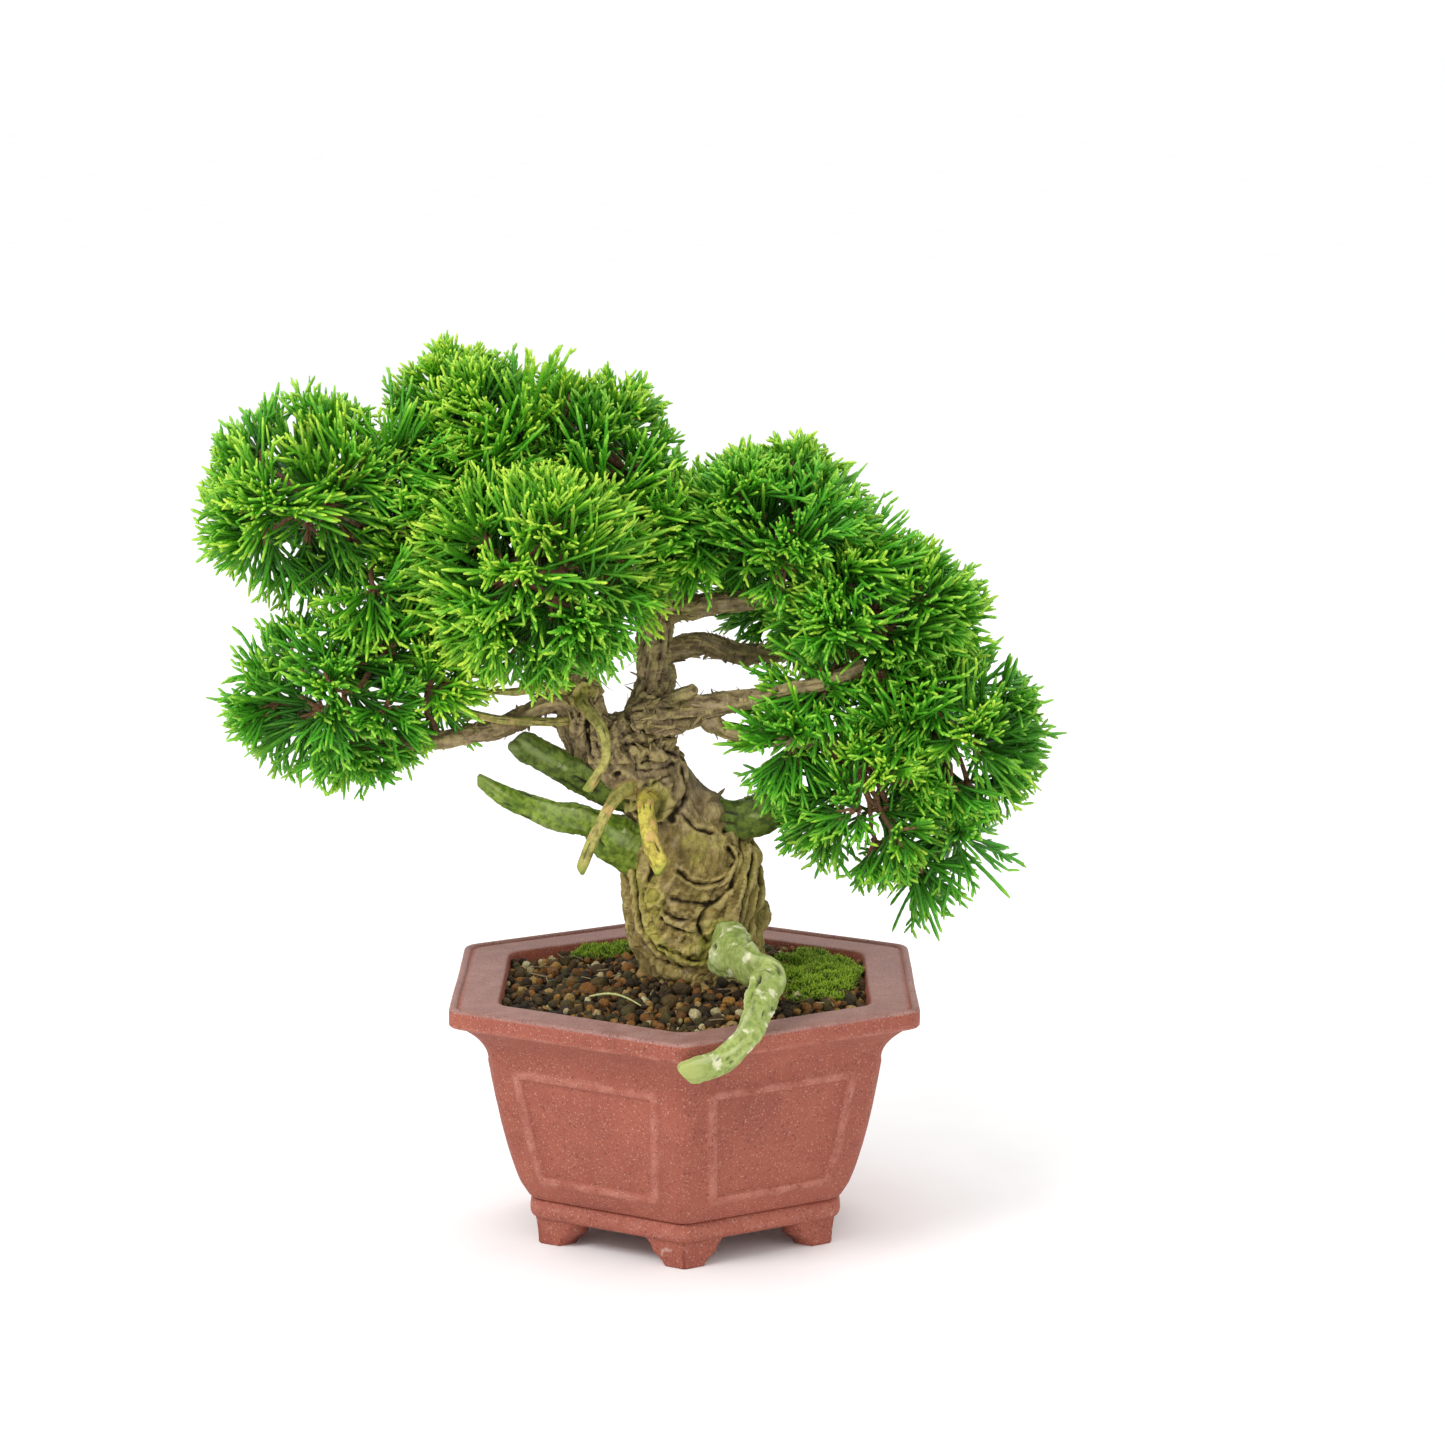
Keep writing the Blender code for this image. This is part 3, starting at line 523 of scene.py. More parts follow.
def store_uv(mesh, places):
    """Give a mesh of many small bits a map in which every bit has its own place."""
    layer = mesh.uv_layers.new(name="OFBake")
    corners = np.empty(len(mesh.loops), np.int32)
    mesh.loops.foreach_get("vertex_index", corners)
    layer.data.foreach_set("uv", places[corners].astype(np.float32).ravel())


ball = bmesh.new()
bmesh.ops.create_icosphere(ball, subdivisions=2, radius=1.0)
BALL = np.array([v.co for v in ball.verts])
BALL_FACES = np.array([[v.index for v in f.verts] for f in ball.faces])
ball.free()


def turns(count):
    """Random rotation matrices."""
    q = unit(rng.normal(size=(count, 4)))
    w, x, y, z = q.T
    rows = [1 - 2 * (y * y + z * z), 2 * (x * y - z * w), 2 * (x * z + y * w)]
    rows += [2 * (x * y + z * w), 1 - 2 * (x * x + z * z), 2 * (y * z - x * w)]
    rows += [2 * (x * z - y * w), 2 * (y * z + x * w), 1 - 2 * (x * x + y * y)]
    return np.stack(rows, -1).reshape(-1, 3, 3)


def grains(centres, sizes, material, name, flat=0.75, stands_for=(), tints=None):
    """Broken, blunt-faceted grains of the given radii as one object."""
    count = len(centres)
    points = np.repeat(BALL[None], count, 0)
    for _ in range(7):
        facing = unit(rng.normal(size=(count, 3)))
        depth = rng.uniform(0.6, 0.95, size=(count, 1))
        over = np.maximum((points * facing[:, None]).sum(-1) - depth, 0)
        points = points - over[:, :, None] * facing[:, None]
    points = points * (1 + 0.06 * rng.normal(size=(count, len(BALL), 1)))
    points = points * rng.uniform(flat, 1.15, size=(count, 1, 3)) * sizes[:, None, None]
    points = np.einsum("nij,nkj->nki", turns(count), points) + centres[:, None]
    faces = (BALL_FACES[None] + np.arange(count)[:, None, None] * len(BALL)).reshape(-1, 3)
    made = mesh_object(name, at(points.reshape(-1, 3)), faces, material, stands_for)
    tints = rng.uniform(size=count) if tints is None else tints
    store(made.data, "tint", np.repeat(tints, len(BALL)))
    spin = np.arctan2(BALL[:, 1], BALL[:, 0]) / TAU + 0.5
    store_uv(made.data, cells(count, spin[None], BALL[None, :, 2] * 0.5 + 0.5))
    return made


tries = rng.uniform(-70, 70, size=(60000, 2))
tries = tries[hexagon_reach(*tries.T) < OPENING_HALF - 0.8]
radius_of = np.clip(rng.gamma(9.0, 0.21, size=len(tries)), 1.1, 3.1)
kept_by_layer = []
for layer, (closeness, wanted) in enumerate(((0.80, 900), (0.92, 820))):
    kept = np.empty((0, 3))
    for (x, y), radius in zip(tries[layer::2], radius_of[layer::2]):
        if hexagon_reach(x, y) + radius * 0.9 > OPENING_HALF:
            continue
        if math.hypot(x - TRUNK_FOOT[0], y - TRUNK_FOOT[1]) < 15:
            continue
        if len(kept) and np.any(np.hypot(kept[:, 0] - x, kept[:, 1] - y) < closeness * (kept[:, 2] + radius)):
            continue
        kept = np.vstack([kept, [x, y, radius]])
        if len(kept) >= wanted:
            break
    kept_by_layer.append(kept)
lower, upper = kept_by_layer
height_lower = soil_z(lower[:, 0], lower[:, 1]) - lower[:, 2] * 0.9 - 0.5
height_upper = soil_z(upper[:, 0], upper[:, 1]) - upper[:, 2] * 0.15 + rng.uniform(-0.9, 0.7, len(upper))
heights = np.concatenate([height_lower, height_upper])
spots = np.column_stack([np.vstack([lower[:, :2], upper[:, :2]]), heights])
sizes = np.concatenate([lower[:, 2], upper[:, 2]])
print("soil granules:", len(lower), "below and", len(upper), "on top")

# %% [markdown]
# Granules are dull and porous. Most are dark brown or olive-brown with damp, some
# are ochre, tan or nearly white pumice; dust lies in fine pits.

# %%
granule, tree, surface, where = new_material("fired_clay_granules")
tint = stored(tree, "tint")
GRAIN_STOPS = [(0.0, "#241a10"), (0.2, "#3d2c18"), (0.38, "#54401f"), (0.52, "#4a4522")]
GRAIN_STOPS += [(0.62, "#6e4a1e"), (0.76, "#96612a"), (0.87, "#ae8038"), (0.95, "#b39a68"), (1.0, "#e2d9a8")]
tone = node(tree, "ValToRGB", {"stops": GRAIN_STOPS}, Fac=tint)
pits = speckle(tree, where, 0.7, 0.3, 0.7, 5)
tone = mixed(tree, times(tree, pits, 0.5), tone, "#1f1710")
moss_dust = speckle(tree, where, 9, 0.55, 0.72, 4)
tone = mixed(tree, times(tree, moss_dust, 0.35), tone, "#59602a")
finish_surface(tree, surface, tone, 0.9, pits, 0.35, 1.45)

# The bed's near-black colour is painted shade for the depth between the granules.
bed, tree, surface, where = new_material("soil_bed_painted_shade")
bed_shade_mottle = speckle(tree, where, 2.2, 0.3, 0.7, 5)
finish_surface(tree, surface, mixed(tree, bed_shade_mottle, "#15100b", "#31261a"), 0.95, bed_shade_mottle, 0.6, 1.4)
around = np.linspace(0, TAU, 97)[:-1]
ring_reach = hexagon_reach(np.cos(around), np.sin(around))
rows = []
for share in np.linspace(0.02, 1, 26):
    edge = (OPENING_HALF - 0.7) / ring_reach * share
    x, y = edge * np.cos(around), edge * np.sin(around)
    z = soil_z(x, y) - 2.4 + 0.7 * np.array([noise(Vector((a, b, 3.0)) / 4) for a, b in zip(x, y)])
    rows.append(np.column_stack([x, y, z]))
rows.append(rows[-1] * [0.985, 0.985, 1] - [0, 0, 12])
skirt = rows[-1][:, :2]
for share, z in ((0.86, -45), (0.7, -62), (0.02, -63.5)):
    rows.append(np.column_stack([skirt * share, np.full(96, z)]))
bed_points = np.concatenate(rows)
mesh_object("soil_bed", at(bed_points), grid_quads(len(rows), 96), bed, ["soil"])
granules = grains(spots, sizes, granule, "soil_granules")
print("the granules have", len(granules.data.polygons), "faces")

# %% [markdown]
# ## Moss
# Two low cushions of star-like moss grow on the damp side. A cushion is a domed
# mat with thousands of separate leafy tips standing on it: each tip is a short
# curved blade, and its height and tint vary, which is what makes moss look soft.

# %%
moss, tree, surface, where = new_material("green_moss")
shade = stored(tree, "shade", "Vector")
parts = split(tree, shade)
MOSS_STOPS = [(0.0, "#27340a"), (0.3, "#4f6a12"), (0.62, "#8aac1e"), (1.0, "#bfd83c")]
green = node(tree, "ValToRGB", {"stops": MOSS_STOPS}, Fac=parts[1])
tired = mixed(tree, 0.5, green, "#9a8a3a")
green = mixed(tree, node(tree, "MapRange", Value=parts[0], From_Min=0.72, From_Max=0.95), green, tired)
finish_surface(tree, surface, green, 0.75, None, 0.1, 1.45)
surface.inputs["Subsurface Weight"].default_value = 0.12
surface.inputs["Subsurface Radius"].default_value = (0.0006, 0.0012, 0.0003)


def cushion(name, centre, radii, turn, count):
    """A mat of moss: an uneven dome covered in short three-sided blades."""
    angle = math.radians(turn)
    spin = np.array([[math.cos(angle), -math.sin(angle)], [math.sin(angle), math.cos(angle)]])
    steps = np.linspace(0, TAU, 65)[:-1]
    edge = 1 + 0.07 * np.sin(5 * steps) + 0.06 * np.sin(3 * steps + 1.3) + 0.04 * np.sin(11 * steps)

    def surface_z(flat, share):
        lumps = [noise(Vector((*p, 9.0)) / 6.5) + 0.6 * noise(Vector((*p, 4.0)) / 2.6) for p in flat]
        lumps = np.array(lumps)
        dome = 3.2 * np.sqrt(np.clip(1 - 0.96 * share**2, 0, 1))
        return soil_z(*flat.T) + dome * (0.75 + 0.5 * lumps) + 1.1 * lumps - 0.5

    rows = []
    for share in (1.0, 0.97, 0.9, 0.8, 0.65, 0.5, 0.3, 0.1):
        oval = np.stack([radii[0] * np.cos(steps), radii[1] * np.sin(steps)], -1)
        flat = centre + (oval * share * edge[:, None]) @ spin.T
        rows.append(np.column_stack([flat, surface_z(flat, np.full(64, share))]))
    mat = np.concatenate(rows)
    share = np.sqrt(rng.uniform(0, 1, count))
    around = rng.uniform(0, TAU, count)
    edge_here = np.interp(around, np.append(steps, TAU), np.append(edge, edge[0]))
    flat = np.stack([radii[0] * np.cos(around), radii[1] * np.sin(around)], -1) * (share * edge_here)[:, None]
    flat = centre + flat @ spin.T
    root = np.column_stack([flat, surface_z(flat, share) - 0.15])
    lean = np.column_stack([(flat - centre) / max(radii) * 0.55, np.ones(count)])
    lean = unit(lean + rng.normal(size=(count, 3)) * 0.33)
    tall = rng.uniform(0.9, 2.4, count)[:, None]
    side = unit(np.cross(lean, rng.normal(size=(count, 3))))
    wide = rng.uniform(0.16, 0.3, count)[:, None]
    bend = unit(rng.normal(size=(count, 3))) * 0.25 * tall
    low = [root + side * wide, root - side * wide, root + np.cross(lean, side) * wide]
    middle = [p + lean * tall * 0.55 + bend * 0.35 for p in low]
    blade = np.stack(low + middle + [root + lean * tall + bend], 1)
    pattern = [[0, 1, 4], [0, 4, 3], [1, 2, 5], [1, 5, 4], [2, 0, 3], [2, 3, 5]]
    pattern = np.array(pattern + [[3, 4, 6], [4, 5, 6], [5, 3, 6]])
    blades = (pattern[None] + (np.arange(count) * 7)[:, None, None]).reshape(-1, 3) + len(mat)
    quads = grid_quads(8, 64)
    everything = at(np.vstack([mat, blade.reshape(-1, 3)]))
    made = mesh_object(name, everything, [quads, blades], moss, [name])
    tint = np.clip(0.5 + 0.5 * np.array([noise(Vector((*p, 2.0)) / 7) for p in flat]), 0, 1)
    rise = np.array([0.1, 0.1, 0.1, 0.5, 0.5, 0.5, 1.0])[None] * rng.uniform(0.65, 1.0, (count, 1))
    shade = np.stack([np.repeat(tint, 7), rise.ravel(), np.zeros(count * 7)], -1)
    store(made.data, "shade", np.vstack([np.tile([0.5, 0.12, 0], (len(mat), 1)), shade]))
    bits_u = np.array([0, 1, 0.5, 0, 1, 0.5, 0.5])[None]
    bits_v = np.array([0, 0, 0, 0.6, 0.6, 0.6, 1])[None]
    around_uv = np.tile(steps / TAU, 8)
    mat_uv = np.column_stack([around_uv, 0.9 + 0.09 * np.repeat(np.linspace(0, 1, 8), 64)])
    blade_uv = cells(count, bits_u, bits_v) * [1, 0.88]
    store_uv(made.data, np.vstack([mat_uv, blade_uv]))
    return made


right = cushion("moss_right", np.array([43.0, 9.0]), (14.2, 31.5), 0, 6500)
left = cushion("moss_back_left", np.array([-24.5, 42.4]), (15.7, 7.3), 30, 1800)
print("the moss cushions have", len(right.data.polygons), "and", len(left.data.polygons), "faces")

# %% [markdown]
# Fallen needles and one pale green sprout lie on the soil. They are
# thin bent rods that touch the granules, grey-tan as dead juniper needles are.

# %%
litter, tree, surface, where = new_material("dry_needles")
tint = stored(tree, "tint")
LITTER_STOPS = [(0.0, "#4b3a25"), (0.4, "#75603c"), (0.75, "#9a8558"), (0.93, "#b5a67c"), (1.0, "#c8d08a")]
tone = node(tree, "ValToRGB", {"stops": LITTER_STOPS}, Fac=tint)
streaks = speckle(tree, where, 0.5, 0.3, 0.7)
streaked = mixed(tree, streaks, tone, mixed(tree, 0.5, tone, "#4a3a26"))
finish_surface(tree, surface, streaked, 0.7, streaks, 0.08, 1.45)
rods, rod_faces, rod_tints, start = [], [], [], 0
NEEDLE_COUNT = 46
for index in range(NEEDLE_COUNT):
    spot = rng.uniform(-52, 52, 2)
    while hexagon_reach(*spot) > 52 or math.hypot(*(spot - TRUNK_FOOT)) < 22:
        spot = rng.uniform(-52, 52, 2)
    length, heading = rng.uniform(3, 9), rng.uniform(0, TAU)
    steps = np.linspace(-0.5, 0.5, 9)
    bow = rng.uniform(-0.25, 0.25) * (steps**2 * 4 - 1) * length * 0.5
    ahead = np.array([math.cos(heading), math.sin(heading)])
    aside = np.array([-math.sin(heading), math.cos(heading)])
    flat = spot + steps[:, None] * length * ahead + bow[:, None] * aside
    z = soil_z(*flat.T).max() + rng.uniform(1.3, 2.4) + steps * rng.uniform(-1.5, 1.5)
    girth = rng.uniform(0.15, 0.3) * np.array([0.6, 0.9, 1, 1, 1, 1, 0.95, 0.8, 0.35])
    rods.append(tube_points(np.column_stack([flat, z]), girth, 5).reshape(-1, 3))
    rod_faces.append(grid_quads(9, 5, start=start))
    rod_tints.append(np.full(45, rng.uniform(0, 0.93)))
    start += 45
sprout_t = np.linspace(0, 1, 9)
sprout_x, sprout_y = -31 + 17 * sprout_t, -22 - 12 * sprout_t + 2.5 * np.sin(math.pi * sprout_t)
sprout_z = soil_z(sprout_x, sprout_y) + 1.9 + 1.4 * np.sin(math.pi * sprout_t)
sprout_girth = 0.45 * np.array([0.7, 1, 1, 1, 1, 0.9, 0.8, 0.65, 0.4])
rods.append(tube_points(np.column_stack([sprout_x, sprout_y, sprout_z]), sprout_girth, 5).reshape(-1, 3))
rod_faces.append(grid_quads(9, 5, start=start))
rod_tints.append(np.full(45, 1.0))
rods, rod_faces = at(np.concatenate(rods)), np.concatenate(rod_faces)
needles = mesh_object("fallen_needles", rods, rod_faces, litter, ())
store(needles.data, "tint", np.concatenate(rod_tints))
needle_u, needle_v = np.meshgrid(np.arange(5) / 4, np.arange(9) / 8)
store_uv(needles.data, cells(NEEDLE_COUNT + 1, needle_u.reshape(1, -1), needle_v.reshape(1, -1)))
print("on the soil lie", NEEDLE_COUNT, "fallen needles and a sprout")

# %% [markdown]
# ## The living wood
# The trunk of an old juniper is not round: strands of living wood swell, fold over
# each other and heal round the places where branches were taken off. Here it is
# built as a sculptor would: tubes for the trunk, the two stems and the branches,
# then strands laid on the surface for the folds, all melted into one skin by a
# voxel remesh and smoothing. Each limb is a run of x, y, z and radius, in mm.

# %%
LIMBS = {
    "trunk": [(6, 10, -13, 16.6), (7.6, 10, 0, 18), (5, 10, 9, 20.6), (3.6, 9, 19, 22.8),
              (1.8, 8, 35, 22.6), (-0.6, 7, 45, 20), (-4.6, 6, 54.5, 13.8), (-11, 5, 64, 13),
              (-18, 3, 72.4, 12.8), (-24, 2, 80, 12), (-26, 2, 86, 9)],
    "stem_left": [(-28, 2, 74, 9), (-33, 1, 85, 7.6), (-34.6, 2, 97, 6), (-35, 3, 104, 5.2),
                  (-38, 5, 120, 4.8), (-43, 7, 140, 4), (-48, 9, 160, 3.2), (-50, 10, 176, 2.4)],
    "stem_right": [(-15, 4, 72, 9), (-12, 3, 84, 8.4), (-10, 6, 97, 5.8), (-10.2, 8, 110, 5.1),
                   (-9, 8, 125, 4.6), (0, 8, 138, 4), (13, 8, 150, 3.2), (22, 8, 158, 2.6)],
    "branch_left_low": [(-30, 0, 86, 4.8), (-42, -4, 93.5, 3.3), (-54, -7, 88, 3), (-66, -10, 84.5, 2.8),
                        (-92, -14, 81.5, 2.4), (-103, -15, 86, 2), (-113, -15, 94, 1.6)],
    "branch_left_high": [(-37, 4, 117, 3.6), (-60, 6, 126, 2.8), (-85, 7, 138, 2.4), (-104, 6, 148, 2),
                         (-115, 5, 158, 1.6)],
    "branch_right_low": [(-11, -1, 87, 6), (1, -7, 90.5, 4.6), (13, -11, 94.5, 3.3), (23, -14, 96.5, 2.7),
                         (44, -18, 102, 2.2), (58, -18, 108, 1.8)],
    "branch_right_fork": [(6, -8, 91, 2.8), (10, -11, 87, 2.6), (21, -17, 84.5, 2.3), (37, -20, 84, 2),
                          (52, -18, 82, 1.7)],
    "branch_right_mid": [(-10, 8, 107, 3.8), (5, 12, 109.5, 3.4), (20, 17, 105.5, 2.9), (38, 20, 106.5, 2.3),
                         (52, 20, 112, 1.8)],
    "branch_right_high": [(-9, 8, 120, 3.8), (5, 6, 123.5, 3.2), (24, 4, 125.5, 2.8), (44, 3, 129, 2.1),
                          (58, 2, 131, 1.7)],
    "branch_back": [(-9, 8, 121, 3.4), (-9, 24, 127, 2.6), (-14, 38, 133, 2.1), (-20, 48, 139, 1.7)],
    "stub_cut": [(-9, 2, 90, 2.8), (-3, -7, 95.5, 2.1), (3, -11, 99, 1.7)],
}


def spline(run, step=1.0):
    """A smooth run through the given points (any number of values each), about step mm apart."""
    run = np.asarray(run, float)
    padded = np.vstack([2 * run[0] - run[1], run, 2 * run[-1] - run[-2]])
    out = []
    for a, b, c, d in zip(padded, padded[1:], padded[2:], padded[3:]):
        count = max(2, int(np.linalg.norm((c - b)[:3]) / step))
        t = (np.arange(count) / count)[:, None]
        bend, twist = 2 * a - 5 * b + 4 * c - d, 3 * b - a - 3 * c + d
        out.append(0.5 * (2 * b + (c - a) * t + bend * t**2 + twist * t**3))
    return np.vstack(out + [run[-1:]])


def solid_tube(run, sides=40, squash=1.0):
    """A closed tube along a splined run: its points and its faces."""
    points = tube_points(run[:, :3], run[:, 3], sides, squash).reshape(-1, 3)
    ends = np.array([np.arange(sides)[::-1], np.arange(sides) + (len(run) - 1) * sides])
    return points, [grid_quads(len(run), sides), ends]


def melted(name, solids, voxel_mm, smoothing):
    """Closed shells melted into one even skin: its points and outward directions in mm."""
    points = np.concatenate([shell for shell, _ in solids])
    starts = np.cumsum([0] + [len(shell) for shell, _ in solids])
    faces = [block + start for start, (_, blocks) in zip(starts, solids) for block in blocks]
    lump = mesh_object(name, at(points), faces, bark)
    remesh = lump.modifiers.new("melt", "REMESH")
    remesh.mode, remesh.voxel_size = "VOXEL", voxel_mm * MM
    soften = lump.modifiers.new("soften", "SMOOTH")
    soften.factor, soften.iterations = 0.5, smoothing
    bpy.context.view_layer.update()
    skin = bpy.data.meshes.new_from_object(lump.evaluated_get(bpy.context.evaluated_depsgraph_get()))
    lump.modifiers.clear()
    old, lump.data = lump.data, skin
    bpy.data.meshes.remove(old)
    skin.materials.clear()
    skin.materials.append(bark)
    return lump


def read_skin(thing):
    """The points (mm from the lip) and outward directions of an object's mesh."""
    points = np.empty(len(thing.data.vertices) * 3, np.float32)
    outward = np.empty_like(points)
    thing.data.vertices.foreach_get("co", points)
    thing.data.vertices.foreach_get("normal", outward)
    return (points.reshape(-1, 3) - LIP) / MM, outward.reshape(-1, 3).astype(float)


def write_skin(thing, points):
    """Move an object's points (mm from the lip) and refresh its shading."""
    thing.data.vertices.foreach_set("co", at(points).astype(np.float32).ravel())
    thing.data.update()


def finder(solids):
    """A search tree over closed shells, for finding where a line meets them."""
    points, polygons, start = [], [], 0
    for shell, blocks in solids:
        points += shell.tolist()
        polygons += [[i + start for i in face] for face in blocks[0].tolist()]
        start += len(shell)
    return BVHTree.FromPolygons(points, polygons)


def on_front(tree, curve, step=1.0):
    """A curve drawn on the front view (x, z in mm), laid on the surface behind it."""
    laid = []
    for x, z in spline(np.column_stack([curve, np.zeros(len(curve))])[:, :2], step):
        hit = tree.ray_cast(Vector((x, -90, z)), Vector((0, 1, 0)))[0]
        if hit is not None:
            laid.append(hit)
    return np.array(laid)


def on_side(tree, curve, sink, step=1.5):
    """A curve of degrees round the trunk (0 = right, 90 = back) and height, sunk a little into it."""
    laid = []
    for turn, z in spline(np.column_stack([curve, np.zeros(len(curve))])[:, :2], step):
        heart = Vector((np.interp(z, [0, 9, 35, 49, 61, 79], [7.6, 5, 1.5, -1.3, -9, -22]), 7, z))
        way = Vector((math.cos(math.radians(turn)), math.sin(math.radians(turn)), 0))
        hit = tree.ray_cast(heart + way * 60, -way)[0]
        if hit is not None:
            laid.append(hit - way * sink)
    return np.array(laid)


bark, tree, surface, where = new_material("juniper_bark")
runs = {name: spline(run) for name, run in LIMBS.items()}
branches = [name for name in LIMBS if "branch" in name or "stub" in name]
solids = [solid_tube(run) for name, run in runs.items() if name not in branches]
trunk_tree = finder(solids)

# %% [markdown]
# The folds of the front were drawn as curves: a root flare that sweeps down the
# left side and under the bulge, lobes that close over an old wound, ribs on the
# right, the collar from which the upper trunk leans out, and the round heel of a
# knot. The sides and the back, which carry on the same movement, get a set of
# twisting strands of the same thickness.

# %%
FRONT_FOLDS = [
    # curve (x, z) and the radius of the strand, in mm
    ([(-19, 52), (-17.6, 46), (-15.6, 36), (-14.6, 28), (-13, 21), (-9.6, 15.5), (-5, 11.5), (1, 9),
      (8, 8)], 2.6),
    ([(-21, 44), (-19.6, 36), (-17.6, 27), (-16.6, 20), (-13.6, 13.5), (-9, 7.5), (-2, 3.5), (6, 2)], 2.5),
    ([(-14, 50), (-12.6, 43), (-12.2, 37), (-13, 31)], 2.2),
    ([(16, 54), (20, 49.5), (21, 43), (19, 35.5), (16.5, 29.5), (15.5, 22), (17, 15)], 2.9),
    ([(21.5, 47), (24, 40), (23.4, 33.5), (21.4, 27.5), (20.2, 21.5), (19.4, 15), (18, 6)], 2.2),
    ([(24.6, 40), (26, 33), (26.2, 26), (25, 20), (22, 14), (19, 7)], 2.1),
    ([(13.4, 47), (16.4, 42.6), (14.6, 38), (9, 35), (3, 35), (-1.5, 37.5)], 1.7),
    ([(-4.6, 31.4), (-1.2, 33), (4.6, 31.8), (8.6, 29)], 1.2),
    ([(-5.4, 28), (-1.6, 25.6), (2.8, 25), (6.2, 26.6), (8, 28.6)], 1.2),
    ([(-8, 24.6), (-3.4, 21.9), (1.4, 20.6), (4.8, 21.6)], 1.3),
    ([(-9, 19), (-4, 15), (1, 13), (6, 13.4)], 1.6),
    ([(8, 27), (12, 30), (15.6, 33.6)], 2.0),
    ([(-17.6, 78), (-9, 77), (-3.6, 73.6), (-1.6, 69), (-2.4, 63.6), (-5, 59.6)], 2.3),
    ([(-30, 80), (-28, 74), (-23.6, 68), (-17, 63.6)], 2.4),
    ([(-1.4, 75), (3, 70), (6.2, 64.6), (7.4, 59), (9.6, 53.6)], 3.0),
    ([(-16, 84), (-9.4, 82), (-3.6, 78.6), (0.4, 74)], 2.2),
    ([(-20, 72), (-14.6, 67.4), (-8, 66.6)], 1.5),
    ([(-36.6, 82), (-34, 92), (-33, 101)], 2.2),
    ([(-29.6, 84), (-29.4, 92), (-31.6, 100)], 2.0),
    ([(-18, 89), (-12, 92), (-6, 89), (-1, 90.6)], 3.0),
    ([(-18, 86.6), (-12, 86), (-6, 85.6), (-1, 87.6)], 2.6),
]
for curve, radius in FRONT_FOLDS:
    laid = on_front(trunk_tree, curve)
    swell = 1.35 * radius * np.interp(np.linspace(0, 1, len(laid)), [0, 0.18, 0.8, 1], [0.35, 1, 1, 0.4])
    swell = swell * (1 + 0.4 * waves(laid, 6.0, 40))
    laid[:, 1] += 0.3 * swell
    solids.append(solid_tube(np.column_stack([laid, swell]), 16))
fold_rng = np.random.default_rng(5)
for number, start_turn in enumerate(np.arange(5, 185, 19)):
    heights = np.linspace(-3, fold_rng.uniform(44, 72), 7)
    twist = start_turn + 26 * np.sin(heights / 26 + number) + fold_rng.normal(size=7) * 4
    girth_here = fold_rng.uniform(2.4, 4.2)
    laid = on_side(trunk_tree, np.column_stack([twist, heights]), 0.62 * girth_here)
    swell = girth_here * np.interp(np.linspace(0, 1, len(laid)), [0, 0.2, 0.8, 1], [0.8, 1, 1, 0.3])
    solids.append(solid_tube(np.column_stack([laid, swell]), 16))
ROOT_FLARE = ((12, 6, 4.0), (16, 0.5, 3.6), (20, -4.5, 2.6))
for turn in np.arange(0, 360, 33):
    way = np.array([math.cos(math.radians(turn)), math.sin(math.radians(turn))])
    root_run = [(*(np.array([7, 10]) + way * reach), z, radius) for reach, z, radius in ROOT_FLARE]
    solids.append(solid_tube(spline(root_run), 16))
wood = melted("living_wood", solids, 0.55, 2)
skin, outward = read_skin(wood)
print("the melted trunk and stems have", len(skin), "points")

# %% [markdown]
# Every point of the skin now learns which limb it belongs to, how far along the
# limb it lies and on which side. These give the grain its direction: the bark is
# pushed in and out by noise that is stretched along the limb. Then the drawn
# cracks, knots and hollows are cut. Three numbers per point are kept as "bark" for
# the material: how deep it lies, how much green film of algae grows on it, and how
# grey the bark is, which is more so higher up.

# %%
centres = np.concatenate([run[:, :3] for run in runs.values()])
girths = np.concatenate([run[:, 3] for run in runs.values()])
ways = np.concatenate([unit(np.gradient(run[:, :3], axis=0)) for run in runs.values()])
lengths = np.concatenate([np.arange(len(run)) * 1.0 + 100 * i for i, run in enumerate(runs.values())])
owners = np.concatenate([np.full(len(run), i) for i, run in enumerate(runs.values())])


def limb_facts(points):
    """For each point: the nearest limb's number, its girth, direction, and the grain's coordinates."""
    nearest = np.empty(len(points), int)
    for first in range(0, len(points), 4000):
        block = points[first : first + 4000]
        away = np.linalg.norm(block[:, None] - centres[None], axis=2) - girths[None]
        nearest[first : first + 4000] = away.argmin(1)
    ahead = ways[nearest]
    offset = points - centres[nearest]
    offset = offset - ahead * (offset * ahead).sum(1, keepdims=True)
    side = unit(np.cross(ahead, [0.2, 1.0, 0.1]))
    up = np.cross(side, ahead)
    turn = np.arctan2((offset * up).sum(1), (offset * side).sum(1)) + lengths[nearest] * 0.035
    radius = np.linalg.norm(offset, axis=1)
    grain = np.stack([np.cos(turn) * radius, np.sin(turn) * radius, lengths[nearest]], -1)
    return owners[nearest], girths[nearest], ahead, grain


def streaks_of(grain, width, length, seed):
    """Noise stretched along the grain, from about -1 to 1."""
    places = grain / [width, width, length] + seed * 13.7
    return np.array([noise(Vector(p)) for p in places])


def near_curve(points, curve):
    """How far each point is from a curve of many places."""
    away = np.full(len(points), 1e3)
    low, high = curve.min(0) - 6, curve.max(0) + 6
    close = np.all((points > low) & (points < high), axis=1)
    away[close] = np.linalg.norm(points[close][:, None] - curve[None], axis=2).min(1)
    return away


